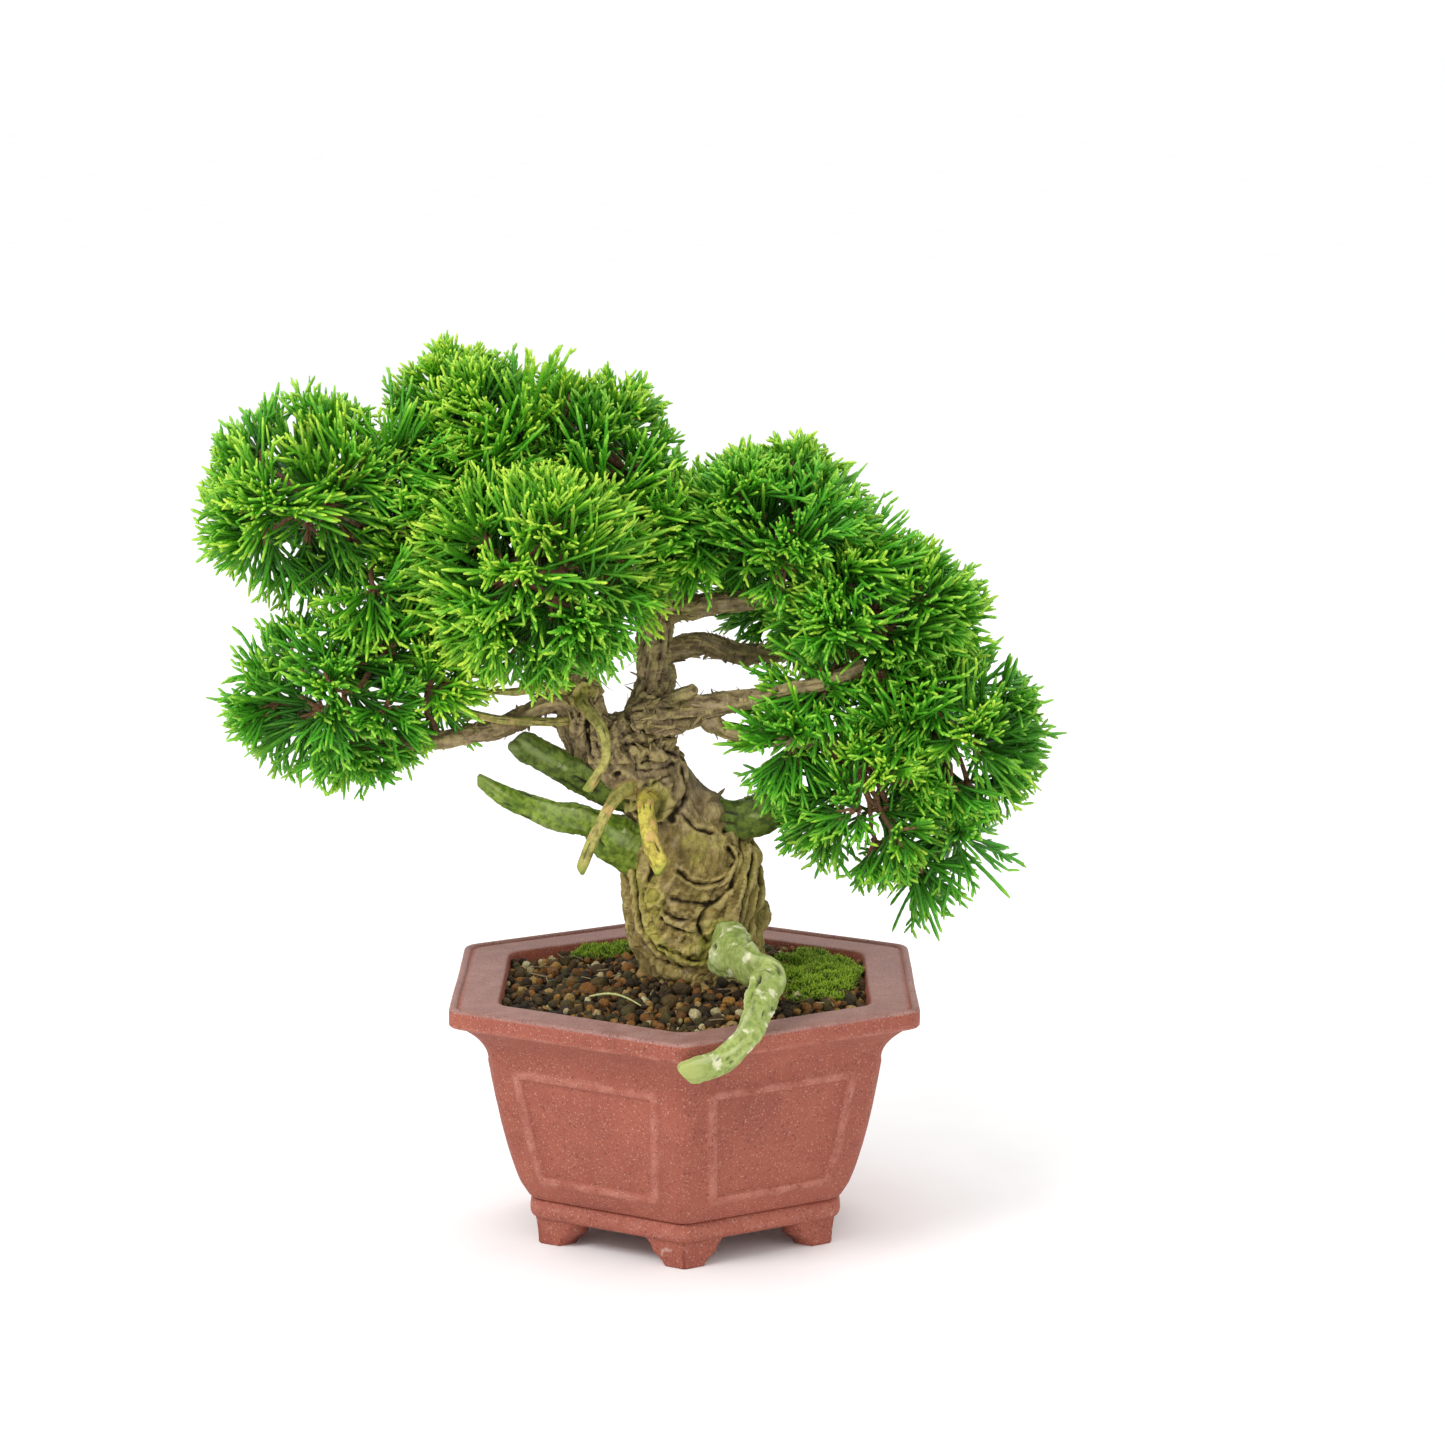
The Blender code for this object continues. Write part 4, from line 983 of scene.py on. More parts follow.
def bark_relief(points):
    """How far the bark stands out (mm) at each point, with the facts it was made from."""
    owner, girth, ahead, grain = limb_facts(points)
    is_trunk = (owner == 0) & (points[:, 2] < 74)
    rough = np.where(is_trunk, 0.5 - 0.2 * ease(points[:, 2], 46, 60), 1.45) * np.clip(girth / 5.0, 0.42, 1.0)
    broad = 1 - 2 * np.abs(streaks_of(grain, 3.4, 17, 1))
    fine = 1 - 2 * np.abs(streaks_of(grain, 1.4, 8, 2))
    plates = np.clip(streaks_of(grain, 2.4, 5, 3) * 3, -1, 1)
    lumps = waves(points, 6.0, 4)
    crumbs = waves(points, 1.3, 6)
    push = rough * (0.45 * broad + 0.36 * fine + 0.42 * plates + 0.22 * crumbs)
    push = push + np.where(is_trunk, 0.85, 0.5) * lumps * rough**0.5
    return push, owner, girth, ahead, grain, is_trunk, lumps


def cavities(thing, rounds=14):
    """How deep each point lies below its surroundings: 0 on ridges, 0.5 on flats, 1 in cracks."""
    points, outward = read_skin(thing)
    edges = np.empty(len(thing.data.edges) * 2, np.int32)
    thing.data.edges.foreach_get("vertices", edges)
    first, second = edges.reshape(-1, 2).T
    near = np.bincount(np.concatenate([first, second]), minlength=len(points))[:, None]
    mean = points.copy()
    for _ in range(rounds):
        total = np.zeros_like(mean)
        for i in range(3):
            total[:, i] = np.bincount(first, mean[second, i], len(points))
            total[:, i] += np.bincount(second, mean[first, i], len(points))
        mean = 0.5 * mean + 0.5 * total / near
    return np.clip(0.5 + ((mean - points) * outward).sum(1) * 1.1, 0, 1)


push, owner, girth, ahead, grain, is_trunk, lumps = bark_relief(skin)
cracked = np.zeros(len(skin))
CRACKS = [
    # curve (x, z), depth and half width, in mm
    ([(-2.4, 38.9), (2.2, 36.2), (6.8, 35.4), (11.8, 35.8), (14.2, 38.7), (16.2, 42), (14, 45.4)], 1.9, 0.8),
    ([(4.4, 19), (4.8, 23), (7.7, 27.4), (10.9, 30.7), (15.2, 33.5)], 1.5, 0.8),
    ([(4.5, 20), (5.4, 17.6), (7.4, 15.4)], 1.6, 1.0),
    ([(-18.6, 46), (-17.2, 39.6), (-16.3, 33), (-16, 26.5), (-15, 20.8), (-11.9, 15.6), (-7.8, 10.8),
      (-1, 6.4)], 1.9, 0.8),
    ([(-11.4, 46), (-10.6, 40), (-11.6, 35)], 1.4, 0.9),
    ([(24.6, 38), (24.8, 31), (23.7, 24), (21.4, 18.6), (18.8, 12)], 1.9, 0.9),
    ([(22.4, 46), (22.4, 40), (20.6, 33), (18.8, 26), (18.2, 18)], 1.7, 0.8),
    ([(19, 52), (18.2, 46), (17.4, 40), (15, 34)], 1.2, 0.7),
    ([(-4.4, 29.8), (0.4, 29), (4.6, 28.6), (7.4, 28)], 1.6, 0.9),
    ([(-8, 22.6), (-3, 19.6), (2.4, 18.4)], 1.3, 0.8),
    ([(-7, 25), (-2, 23.2), (3, 22.8)], 1.0, 0.6),
    ([(-8, 13.6), (-3, 10.6), (4, 8.6), (9, 10)], 1.3, 0.8),
    ([(-15.8, 77), (-16, 72.6), (-13.4, 71.4), (-8.2, 71.6), (-4, 72.6)], 0.9, 0.5),
    ([(-16, 66), (-10, 67.4), (-5, 69.6)], 0.8, 0.5),
    ([(-0.6, 71.6), (0.6, 66), (-0.6, 60), (-4, 57)], 1.8, 1.0),
    ([(-19, 80.6), (-12, 79.4), (-5, 77), (0, 73.6)], 1.7, 0.8),
    ([(-26, 80), (-24.6, 86), (-21, 88)], 1.6, 1.0),
    ([(-20, 83.6), (-14, 84), (-7, 83), (-1, 80)], 2.2, 1.1),
    ([(-29.6, 90), (-31.6, 84), (-30.6, 78), (-27, 71)], 1.2, 0.8),
    ([(-14, 74), (-10.4, 75), (-6, 74.2)], 0.7, 0.5),
    ([(9, 51), (12, 50.4), (17, 53)], 1.8, 1.1),
    ([(-1, 57), (3.4, 52.4), (9.6, 50.6)], 1.0, 0.8),
]
wood_tree = BVHTree.FromPolygons(skin.tolist(), [list(p.vertices) for p in wood.data.polygons])
torn = skin + 0.6 * np.stack([waves(skin, 2.4, 31), waves(skin, 2.4, 32), waves(skin, 2.4, 33)], -1)
fading = np.clip(0.9 + 1.1 * waves(skin, 5.0, 34), 0.25, 1.35)
for curve, depth, width in CRACKS:
    laid = on_front(wood_tree, curve, 0.5)
    cut = np.exp(-((near_curve(torn, laid) / width) ** 2)) * fading
    push -= depth * cut
    cracked = np.maximum(cracked, np.clip(1.1 * cut, 0, 1))
KNOTS = [
    # centre (x, z), radius, height of the rim and depth of the middle, in mm
    ((-9.9, 30.2), 2.9, 1.1, -1.1),
    ((-10.6, 60.7), 5.6, 1.5, 0.5),
    ((-4.4, 55.2), 2.3, 0.3, 1.3),
    ((-21.6, 70.6), 1.7, 0.4, 1.1),
    ((-18.3, 61), 3.2, 0.9, 0.3),
    ((-32.5, 96.4), 3.4, 1.1, 0.2),
    ((11, 14), 6.8, 0.8, 0.0),
]
algae = np.zeros(len(skin))
for (x, z), radius, rim, depth in KNOTS:
    middle = on_front(wood_tree, [(x, z), (x + 0.01, z)])[0]
    away = np.linalg.norm(skin - middle, axis=1)
    away = away * (1 + 0.12 * lumps + 0.5 * waves(skin, 2.8, 35))
    hollowed = depth * (1 - ease(away, 0.2 * radius, 0.9 * radius))
    push += rim * np.exp(-(((away - radius) / (0.3 * radius)) ** 2)) - hollowed
    if depth > 1:
        cracked = np.maximum(cracked, 1 - ease(away, 0.5 * radius, 0.95 * radius))
    else:
        algae = np.maximum(algae, 0.85 * (1 - ease(away, 0.9 * radius, 1.5 * radius)))
flare = on_front(wood_tree, FRONT_FOLDS[0][0], 0.5)
strip = 1 - ease(near_curve(skin, flare), 1.2, 3.4)
algae = np.maximum(algae, strip * np.clip(0.75 + 0.6 * lumps, 0, 1))
damp = ease(waves(skin, 15, 8) + 0.5 * waves(skin, 4, 9), 0.18, 0.75)
algae = np.maximum(algae, 0.6 * damp * np.where(is_trunk, 1, 0.55))
algae = np.maximum(algae, 0.55 * ease(skin[:, 0], 15, 22) * is_trunk * (0.6 + 0.5 * lumps))
write_skin(wood, skin + outward * np.clip(push, -3.4, 2.2)[:, None])
# how deep each point lies; the bark material paints deep places as shade and ridges as a highlight
hollow = np.maximum(cavities(wood), cracked)
greyed = ease(skin[:, 2] + 6 * lumps, 42, 66)
store(wood.data, "bark", np.stack([hollow, np.clip(algae, 0, 1), greyed], -1))
store(wood.data, "grain", grain * MM)
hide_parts("trunk", "stem_left", "stem_right")
print("bark pushed between", round(push.min(), 2), "and", round(push.max(), 2), "mm")

# %% [markdown]
# The branches get the same bark in a skin of their own, which lets them keep a
# finer net; their roots reach into the stems, so no seam shows.

# %%
limbs = melted("branch_wood", [solid_tube(runs[name], 24) for name in branches], 0.45, 2)
limb_skin, limb_outward = read_skin(limbs)
limb_push, _, limb_girth, limb_ahead, limb_grain, *_ = bark_relief(limb_skin)
write_skin(limbs, limb_skin + limb_outward * np.clip(limb_push, -1.5, 1.7)[:, None])
limb_algae = 0.45 * ease(waves(limb_skin, 12, 8), 0.25, 0.8)
store(limbs.data, "bark", np.stack([cavities(limbs), limb_algae, np.ones(len(limb_skin))], -1))
store(limbs.data, "grain", limb_grain * MM)
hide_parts(*branches)
print("the branches have", len(limb_skin), "points")

# %% [markdown]
# Juniper bark is thin and stringy: tan on the trunk and greyer higher
# up, pinkish where it has peeled, with yellow-green
# algae on the damp sides. On the relief that was really cut, the ridges are lightened as a
# painted highlight and the cracks and hollows are darkened nearly to black as painted
# shade. The fine fibres follow the stored grain, a third of a millimetre wide and several long.

# %%
facts = stored(tree, "bark", "Vector")
relief, green_film, greyness = split(tree, facts)
fibre_at = stored(tree, "grain", "Vector")
stretched = node(tree, "VectorMath", {"operation": "MULTIPLY"}, i0=fibre_at, i1=(1, 1, 0.14))
fibres = node(tree, "TexNoise", Vector=stretched, Scale=1 / (0.55 * MM), Detail=4.0)
strings = node(tree, "TexNoise", Vector=stretched, Scale=1 / (2.2 * MM), Detail=3.0)
patches = speckle(tree, where, 11, 0.36, 0.64, 4)
spots = speckle(tree, where, 2.4, 0.3, 0.7, 5)
tan = mixed(tree, spots, "#8f7c40", "#c6b26e")
brown = mixed(tree, spots, "#65532a", "#9a854c")
tone = mixed(tree, patches, tan, brown)
peeled = speckle(tree, where, 4, 0.58, 0.70, 3)
tone = mixed(tree, times(tree, peeled, 0.7), tone, "#bba47e")
grey_bark = mixed(tree, spots, "#7d6b55", "#b5a08a")
tone = mixed(tree, times(tree, greyness, 0.6), tone, grey_bark)
string_tone = node(tree, "MapRange", Value=strings, From_Min=0.38, From_Max=0.62, To_Min=0.55, To_Max=0.0)
tone = mixed(tree, string_tone, tone, "#453512")
film = node(tree, "MapRange", Value=spots, To_Min=0.6, To_Max=1.0)
film = times(tree, green_film, film)
film_tone = mixed(tree, patches, "#b3ad45", "#7f8532")
tone = mixed(tree, times(tree, film, 0.9), tone, film_tone)
# painted highlight: the ridges of the relief are lightened
painted_ridge_highlight = node(tree, "MapRange", Value=relief, From_Min=0.42, From_Max=0.12, To_Max=0.5)
tone = mixed(tree, painted_ridge_highlight, tone, "#cfbc7c")
# painted shade: cracks and hollows are darkened nearly to black
dark = node(tree, "MapRange", Value=relief, From_Min=0.58, From_Max=0.95, To_Max=0.95)
tone = mixed(tree, dark, tone, "#231804")
bumps = node(tree, "Math", {"operation": "MULTIPLY_ADD"}, i0=strings, i1=1.5, i2=fibres)
finish_surface(tree, surface, tone, 0.82, bumps, 0.55, 1.45)
surface.inputs["Specular IOR Level"].default_value = 0.3

# %% [markdown]
# Thin flakes of bark stand off the stems and branches. Each is a small curled
# sliver, rooted in the bark and leaning along the limb.

# %%
both = np.concatenate([skin, limb_skin])
both_out = np.concatenate([outward, limb_outward])
both_push = np.concatenate([np.clip(push, -3.4, 2.2), np.clip(limb_push, -1.2, 1.3)])
both_girth, both_ahead = np.concatenate([girth, limb_girth]), np.concatenate([ahead, limb_ahead])
both_grain, both_algae = np.concatenate([grain, limb_grain]), np.concatenate([algae, limb_algae])
on_trunk = np.concatenate([is_trunk, np.zeros(len(limb_skin), bool)])
chance = np.where(on_trunk, 0.10, 1.0) * ease(both[:, 2], 30, 75)
chance = chance / chance.sum()
FLAKES = 900
chosen = fold_rng.choice(len(both), FLAKES, p=chance)
long = fold_rng.uniform(1.2, 3.8, FLAKES)[:, None] * np.clip(both_girth[chosen] / 4, 0.6, 1.2)[:, None]
wide = fold_rng.uniform(0.35, 0.9, FLAKES)[:, None]
either_way = both_ahead[chosen] * fold_rng.choice([-1, 1], FLAKES)[:, None]
along = unit(either_way + 0.5 * fold_rng.normal(size=(FLAKES, 3)))
lift = both_out[chosen]
across = unit(np.cross(along, lift))
root = both[chosen] + lift * (both_push[chosen] - 0.5)[:, None]
stages = []
for t, rise, share in ((0, 0.0, 1.0), (0.4, 0.30, 1.0), (0.75, 0.62, 0.8), (1.0, 1.0, 0.25)):
    spine = root + along * long * t + lift * (0.4 + long * rise * 0.55)
    stages += [spine - across * wide * share, spine + lift * 0.22 * (1.2 - t), spine + across * wide * share]
    stages += [spine - lift * 0.2]
flakes = np.stack(stages, 1)
flake_faces, flake_caps = grid_quads(4, 4), np.array([[0, 3, 2, 1], [12, 13, 14, 15]])
offsets = (np.arange(FLAKES) * 16)[:, None, None]
all_faces = [(block[None] + offsets).reshape(-1, 4) for block in (flake_faces, flake_caps)]
all_faces = np.concatenate(all_faces)
flaky = mesh_object("bark_flakes", at(flakes.reshape(-1, 3)), all_faces, bark, ())
flake_hollow = fold_rng.uniform(0.1, 0.65, FLAKES)
flake_bark = np.stack([flake_hollow, 0.5 * both_algae[chosen], np.ones(FLAKES)], -1)
store(flaky.data, "bark", np.repeat(flake_bark, 16, 0))
across_flake = np.tile([0, 0.3, 0.6, 0.3], 4)
along_flake = np.repeat([0, 1, 2, 3], 4)
flake_grain = both_grain[chosen][:, None] + np.stack([np.zeros(16), across_flake, along_flake], -1)
store(flaky.data, "grain", flake_grain.reshape(-1, 3) * MM)
flake_u, flake_v = np.tile([0, 0.5, 1, 0.5], 4)[None], np.repeat([0, 0.4, 0.75, 1], 4)[None]
store_uv(flaky.data, cells(FLAKES, flake_u, flake_v))
print(FLAKES, "flakes stand off the bark")

# %% [markdown]
# ## The jins
# Jins are branches whose bark was stripped off; the bare wood has been left to
# weather. Here most are coated with green algae, so they look pale green to olive
# with the wood's tan and white showing through, and three small ones are yellow.
# Each is a flattened tube with its own swellings, long drying cracks and a broken
# or sawn end. The wide side of the section lies across the view from the front.

# %%
JINS = {
    # run (x, y, z, radius), width and thickness of the section, notch in the end (mm)
    "jin_left_long": ([(-7, 6, 41, 6.4), (-17, 0, 43.6, 7.8), (-24, -4, 48, 7.0), (-31, -7, 54, 4.8),
                       (-44, -10, 57.4, 3.9), (-56, -12, 62.5, 3.3), (-63, -13, 67, 2.4),
                       (-67.6, -14, 70.6, 1.3)], 1.08, 0.8, 0.0),
    "jin_left_high": ([(-14, 2, 59, 5.4), (-27, -5, 65.4, 5.0), (-38.5, -9, 72, 4.7), (-48, -11, 78, 4.5),
                       (-52.6, -11.6, 80.8, 4.0), (-56.6, -12, 83.2, 3.0)], 1.1, 0.78, 3.4),
    "jin_right": ([(0, 5, 51, 5), (10, 2, 54.5, 4.9), (20, 0, 53.6, 5.5), (27, -1, 57, 5.7),
                   (29, -2, 64, 5.0), (28, -2, 72, 3.2)], 1.05, 0.8, 1.0),
    "jin_stub_front": ([(-11, 0, 64, 3.5), (-12.6, -18, 61.5, 3.0), (-10.6, -26, 51, 2.9),
                        (-6, -29, 41.5, 3.1)], 1.0, 0.95, 0.0),
    "jin_thin_left": ([(-12, -2, 66, 2.4), (-21, -16, 65.5, 1.9), (-28, -25, 55.5, 1.7),
                       (-34, -29, 41.5, 1.4)], 1.05, 0.85, 0.0),
    "jin_bent": ([(-34, 0, 95, 2.2), (-33, -11, 93.5, 1.8), (-27, -19, 88.5, 1.7), (-25, -23, 79.5, 1.6),
                  (-28, -25, 73.5, 1.5), (-32, -25, 67.5, 1.3)], 1.05, 0.9, 0.6),
    "twig_bare_low": ([(-35, -1, 88, 2), (-41, -8, 87.5, 1.5), (-60, -14, 89.5, 1.3),
                       (-74, -18, 94, 0.9)], 1.0, 0.95, 0.0),
    "twig_bare_high": ([(-35, 0, 96, 2), (-45, -10, 99.5, 1.5), (-54, -14, 98.5, 1.2),
                        (-63, -16, 99, 0.9)], 1.0, 0.95, 0.0),
}


def lip_edge(x):
    """How far forward the pot's lip reaches at a given x."""
    return -(LIP_HALF / COS30 - abs(x) * TAN30)


hanging = [(11, -2, 16, 6.0), (13.4, -17, 15.6, 6.6), (15.6, -28, 14.4, 7.0), (20.6, -40, 14.2, 6.0),
           (25.6, -51, 14.4, 5.0), (25.6, -62, 12.2, 4.8)]
for x, z, girth_there in ((20.5, 3.2, 4.0), (12.5, -4, 3.6), (4, -6.4, 3.5), (-2, -7, 2.8)):
    hanging.append((x, lip_edge(x) - girth_there - 3, z, girth_there))
JINS["jin_hanging"] = (hanging, 1.06, 0.62, 0.0)


def deadwood(name, light, mid, dark, patch, patch_share, tip):
    """Bare weathered wood: two tones of its film, dark mottling, bare patches and a sawn tip, with ridges
    lightened as a painted highlight and cracks darkened as painted shade.
    """
    made, tree, surface, where = new_material(name)
    facts = stored(tree, "dead", "Vector")
    along, crack, ridge = split(tree, facts)
    fibre_at = stored(tree, "grain", "Vector")
    stretched = node(tree, "VectorMath", {"operation": "MULTIPLY"}, i0=fibre_at, i1=(1, 1, 0.1))
    fibres = node(tree, "TexNoise", Vector=stretched, Scale=1 / (0.5 * MM), Detail=4.0)
    bands = node(tree, "TexNoise", Vector=stretched, Scale=1 / (1.9 * MM), Detail=2.0)
    clouds = speckle(tree, where, 8, 0.34, 0.66, 4)
    mottle = speckle(tree, where, 2.2, 0.44, 0.62, 6)
    flecks = speckle(tree, where, 0.8, 0.54, 0.66, 3)
    tone = mixed(tree, clouds, mid, light)
    lines = node(tree, "MapRange", Value=bands, From_Min=0.4, From_Max=0.62, To_Min=0.0, To_Max=0.45)
    tone = mixed(tree, lines, tone, light)
    tone = mixed(tree, times(tree, mottle, 0.75), tone, dark)
    tone = mixed(tree, times(tree, flecks, 0.5), tone, dark)
    bare_low, bare_high = 0.78 - patch_share, 0.84 - patch_share
    bare = speckle(tree, where, 5.5, bare_low, bare_high, 5)
    bare = times(tree, bare, 0.8)
    tone = mixed(tree, bare, tone, patch)
    # painted highlight: the raised cords of the wood are lightened towards the bare colour
    edges = node(tree, "MapRange", Value=ridge, From_Min=0.55, From_Max=1.0, To_Max=0.55)
    tone = mixed(tree, edges, tone, patch)
    at_tip = node(tree, "MapRange", Value=along, From_Min=0.9, From_Max=0.97, To_Max=0.8)
    tone = mixed(tree, at_tip, tone, tip)
    # painted shade: the drying cracks are darkened nearly to black
    tone = mixed(tree, crack, tone, "#1f1f10")
    finish_surface(tree, surface, tone, 0.62, fibres, 0.3, 1.45)
    surface.inputs["Specular IOR Level"].default_value = 0.35
    return made


pale = deadwood("pale_green_deadwood", "#a2b065", "#8e9f50", "#73843c", "#dedcb8", 0.19, "#a3ab62")
mossy = deadwood("mossy_deadwood", "#8aa03a", "#64801a", "#3c560e", "#b9c090", 0.15, "#7d9040")
olive = deadwood("olive_deadwood", "#6e8230", "#4c6014", "#2c3a0a", "#95a06a", 0.16, "#6a7a3c")
yellow = deadwood("yellow_deadwood", "#d0c456", "#b0a142", "#7d6c26", "#c9a263", 0.20, "#8a9a38")
fawn = deadwood("fawn_deadwood", "#b9b062", "#98954a", "#6c6a30", "#c49e68", 0.22, "#7f8f34")
FINISHES = {"jin_hanging": pale, "jin_left_long": mossy, "jin_left_high": olive, "jin_right": olive,
            "jin_stub_front": yellow}


SQUARED = 2.8  # 2 would be an oval section, more is squarer


def bare_limb(name, run, wide, thick, notch, seed):
    """A stripped limb: a flattened, swollen tube with cracks along it and a slanting broken end."""
    run = spline(run, 0.55)
    sides, count = 44, len(run)
    ahead = unit(np.gradient(run[:, :3], axis=0))
    side = unit(np.cross(ahead, [0.0, 1.0, 0.0]) + 1e-6)
    up = np.cross(side, ahead)
    turn = np.arange(sides) * TAU / sides
    along = np.concatenate([[0], np.cumsum(np.linalg.norm(np.diff(run[:, :3], axis=0), axis=1))])
    left = along[-1] - along
    blunt = np.sqrt(1 - (1 - np.clip(left / (0.55 * run[-1, 3] + 0.3), 0, 1)) ** 2)
    radius = run[:, 3] * (0.12 + 0.88 * blunt)
    twisted = turn[None] + along[:, None] * 0.02
    grain = np.stack([np.cos(twisted) * 3, np.sin(twisted) * 3, np.repeat(along[:, None], sides, 1)], -1)
    flat_grain = grain.reshape(-1, 3)
    swell = waves(flat_grain * [1, 1, 0.35], 3.4, seed).reshape(count, sides)
    cord = streaks_of(flat_grain, 1.3, 22, seed + 1).reshape(count, sides)
    fine = streaks_of(flat_grain, 0.5, 7, seed + 2).reshape(count, sides)
    crack = ease(streaks_of(flat_grain, 0.8, 8, seed + 3).reshape(count, sides), 0.46, 0.62)
    worn = waves(flat_grain, 1.3, seed + 4).reshape(count, sides)
    knob = np.exp(-(((along / along[-1] - 0.36 - 0.1 * (seed % 3)) * along[-1] / 5) ** 2))[:, None]
    knob = knob * ease(np.cos(turn - seed), 0.2, 1)[None]
    broad = waves(run[:, :3], 9.0, seed + 5)[:, None]
    shape = 1 + 0.18 * swell + 0.2 * broad + 0.16 * cord + 0.06 * fine + 0.07 * worn
    shape = shape - 0.18 * crack + 0.16 * knob
    rounded = np.abs(np.cos(turn)) ** SQUARED + np.abs(np.sin(turn)) ** SQUARED
    shape = shape * rounded[None] ** (-1 / SQUARED) * radius[:, None]
    across = side[:, None] * np.cos(turn)[None, :, None] * wide
    over = up[:, None] * np.sin(turn)[None, :, None] * thick
    points = run[:, None, :3] + (across + over) * shape[..., None]
    if notch:
        cut = notch * ease(-left, -5, 0)[:, None] * np.exp(-((np.cos(turn) / 0.35) ** 2))[None]
        points = points - ahead[:, None] * cut[..., None]
    rough_end = ease(-left, -1.2, 0)[:, None] * 0.7 * swell
    points = points + ahead[:, None] * rough_end[..., None]
    ends = np.array([np.arange(sides)[::-1], np.arange(sides) + (count - 1) * sides])
    tip = run[-1, :3] - ahead[-1] * run[-1, 3] * 0.55
    face = unit(ahead[-1] + 0.8 * math.sin(seed * 2.4) * side[-1])
    beyond = np.clip((points - tip) @ face, 0, None) * (left < 3 * run[-1, 3] + 2)[:, None]
    points = points - face * (0.92 * beyond)[..., None]
    finish = FINISHES.get(name, fawn)
    points, faces = at(points.reshape(-1, 3)), [grid_quads(count, sides), ends]
    made = mesh_object(name + "_wood", points, faces, finish, [name])
    t = np.repeat((along / along[-1])[:, None], sides, 1)
    ridge = np.clip(0.5 + 0.5 * cord + 0.3 * swell, 0, 1)
    store(made.data, "dead", np.stack([t, crack, ridge], -1).reshape(-1, 3))
    store(made.data, "grain", flat_grain * MM)


for seed, (name, (run, wide, thick, notch)) in enumerate(JINS.items()):
    bare_limb(name, run, wide, thick, notch, seed + 11)
print("bare limbs:", ", ".join(JINS))

# %% [markdown]
# ## Foliage
# The needles of this juniper are cords about a millimetre thick, covered in tiny
# overlapping scales. Shoots start on brown twigs inside a pad and fan out to its
# surface; every cord carries shorter side cords set like the barbs of a feather,
# and the youngest tips are yellow-green. Each pad is grown the same way: clusters
# of shoots fill its volume, each shoot opens its cords in a fan that points
# outwards and a little up, and the cords bend towards the light.

# %%
PADS = {
    "foliage_left_low": "branch_left_low",
    "foliage_left_outer": "branch_left_high",
    "foliage_left_inner": "branch_left_high",
    "foliage_top_left": "stem_left",
    "foliage_top": "stem_right",
    "foliage_front": "branch_left_high",
    "foliage_right_top": "stem_right",
    "foliage_right_mid": "branch_right_mid",
    "foliage_right_outer": "branch_right_low",
    "foliage_right_hang": "branch_right_fork",
    "foliage_back": "branch_back",
    "foliage_back_right": "branch_right_high",
}
CORD_ROWS, CORD_SIDES, BARB_ROWS, BARB_SIDES = 12, 4, 5, 4
leaf_rng = np.random.default_rng(77)
quick_share = 1.0


def fan(count, spread_deg):
    """Angles of a fan's cords: evenly opened, with some unevenness."""
    open_angles = np.linspace(-1, 1, count) if count > 1 else np.zeros(1)
    return np.radians(spread_deg) * (open_angles + leaf_rng.normal(size=count) * 0.13)


def cord_rings(root, heading, lift, length, girth, rows, sides, taper, flat=1.0):
    """Many cords at once: rings of points from root along heading, bending towards lift."""
    t = np.linspace(0, 1, rows)[None, :, None]
    path = root[:, None] + heading[:, None] * length[:, None, None] * t
    path = path + lift[:, None] * length[:, None, None] * t**2
    ahead = unit(heading[:, None] + 2 * t * lift[:, None])
    side = unit(np.cross(ahead, np.array([0.31, 0.22, 0.93])))
    up = np.cross(side, ahead)
    profile = np.interp(np.linspace(0, 1, rows), *taper)
    scales = 1 + 0.09 * np.where(np.arange(rows) % 2, 1, -1) * (np.arange(rows) < rows - 2)
    radius = girth[:, None] * (profile * scales)[None]
    turn = np.arange(sides) * TAU / sides
    ring = np.cos(turn)[:, None] * side[:, :, None] + flat * np.sin(turn)[:, None] * up[:, :, None]
    return path[:, :, None] + ring * radius[:, :, None, None], path, ahead, side


def cord_faces(count, rows, sides, start):
    """Faces of many cords: quads along the sides and a small cap at each tip."""
    quads = grid_quads(rows, sides)
    first = (np.arange(count) * rows * sides)[:, None, None] + start
    cap = np.array([[i for i in range(sides)]]) + (rows - 1) * sides
    return (quads[None] + first).reshape(-1, 4), (cap[None] + first).reshape(-1, sides)


CORD_TAPER = ([0, 0.08, 0.5, 0.9, 0.97, 1], [0.75, 1.0, 1.0, 0.96, 0.82, 0.4])
BARB_TAPER = ([0, 0.2, 0.75, 0.92, 1], [0.8, 1.0, 1.0, 0.86, 0.42])
twig_runs = []


def to_edge(start, way, centre, halves):
    """How far it is from a place inside a pad to its surface, along a direction."""
    a = (way / halves) @ (way / halves)
    b = 2 * ((start - centre) / halves) @ (way / halves)
    c = ((start - centre) / halves) @ ((start - centre) / halves) - 1
    return (-b + math.sqrt(max(b * b - 4 * a * c, 0))) / (2 * a)


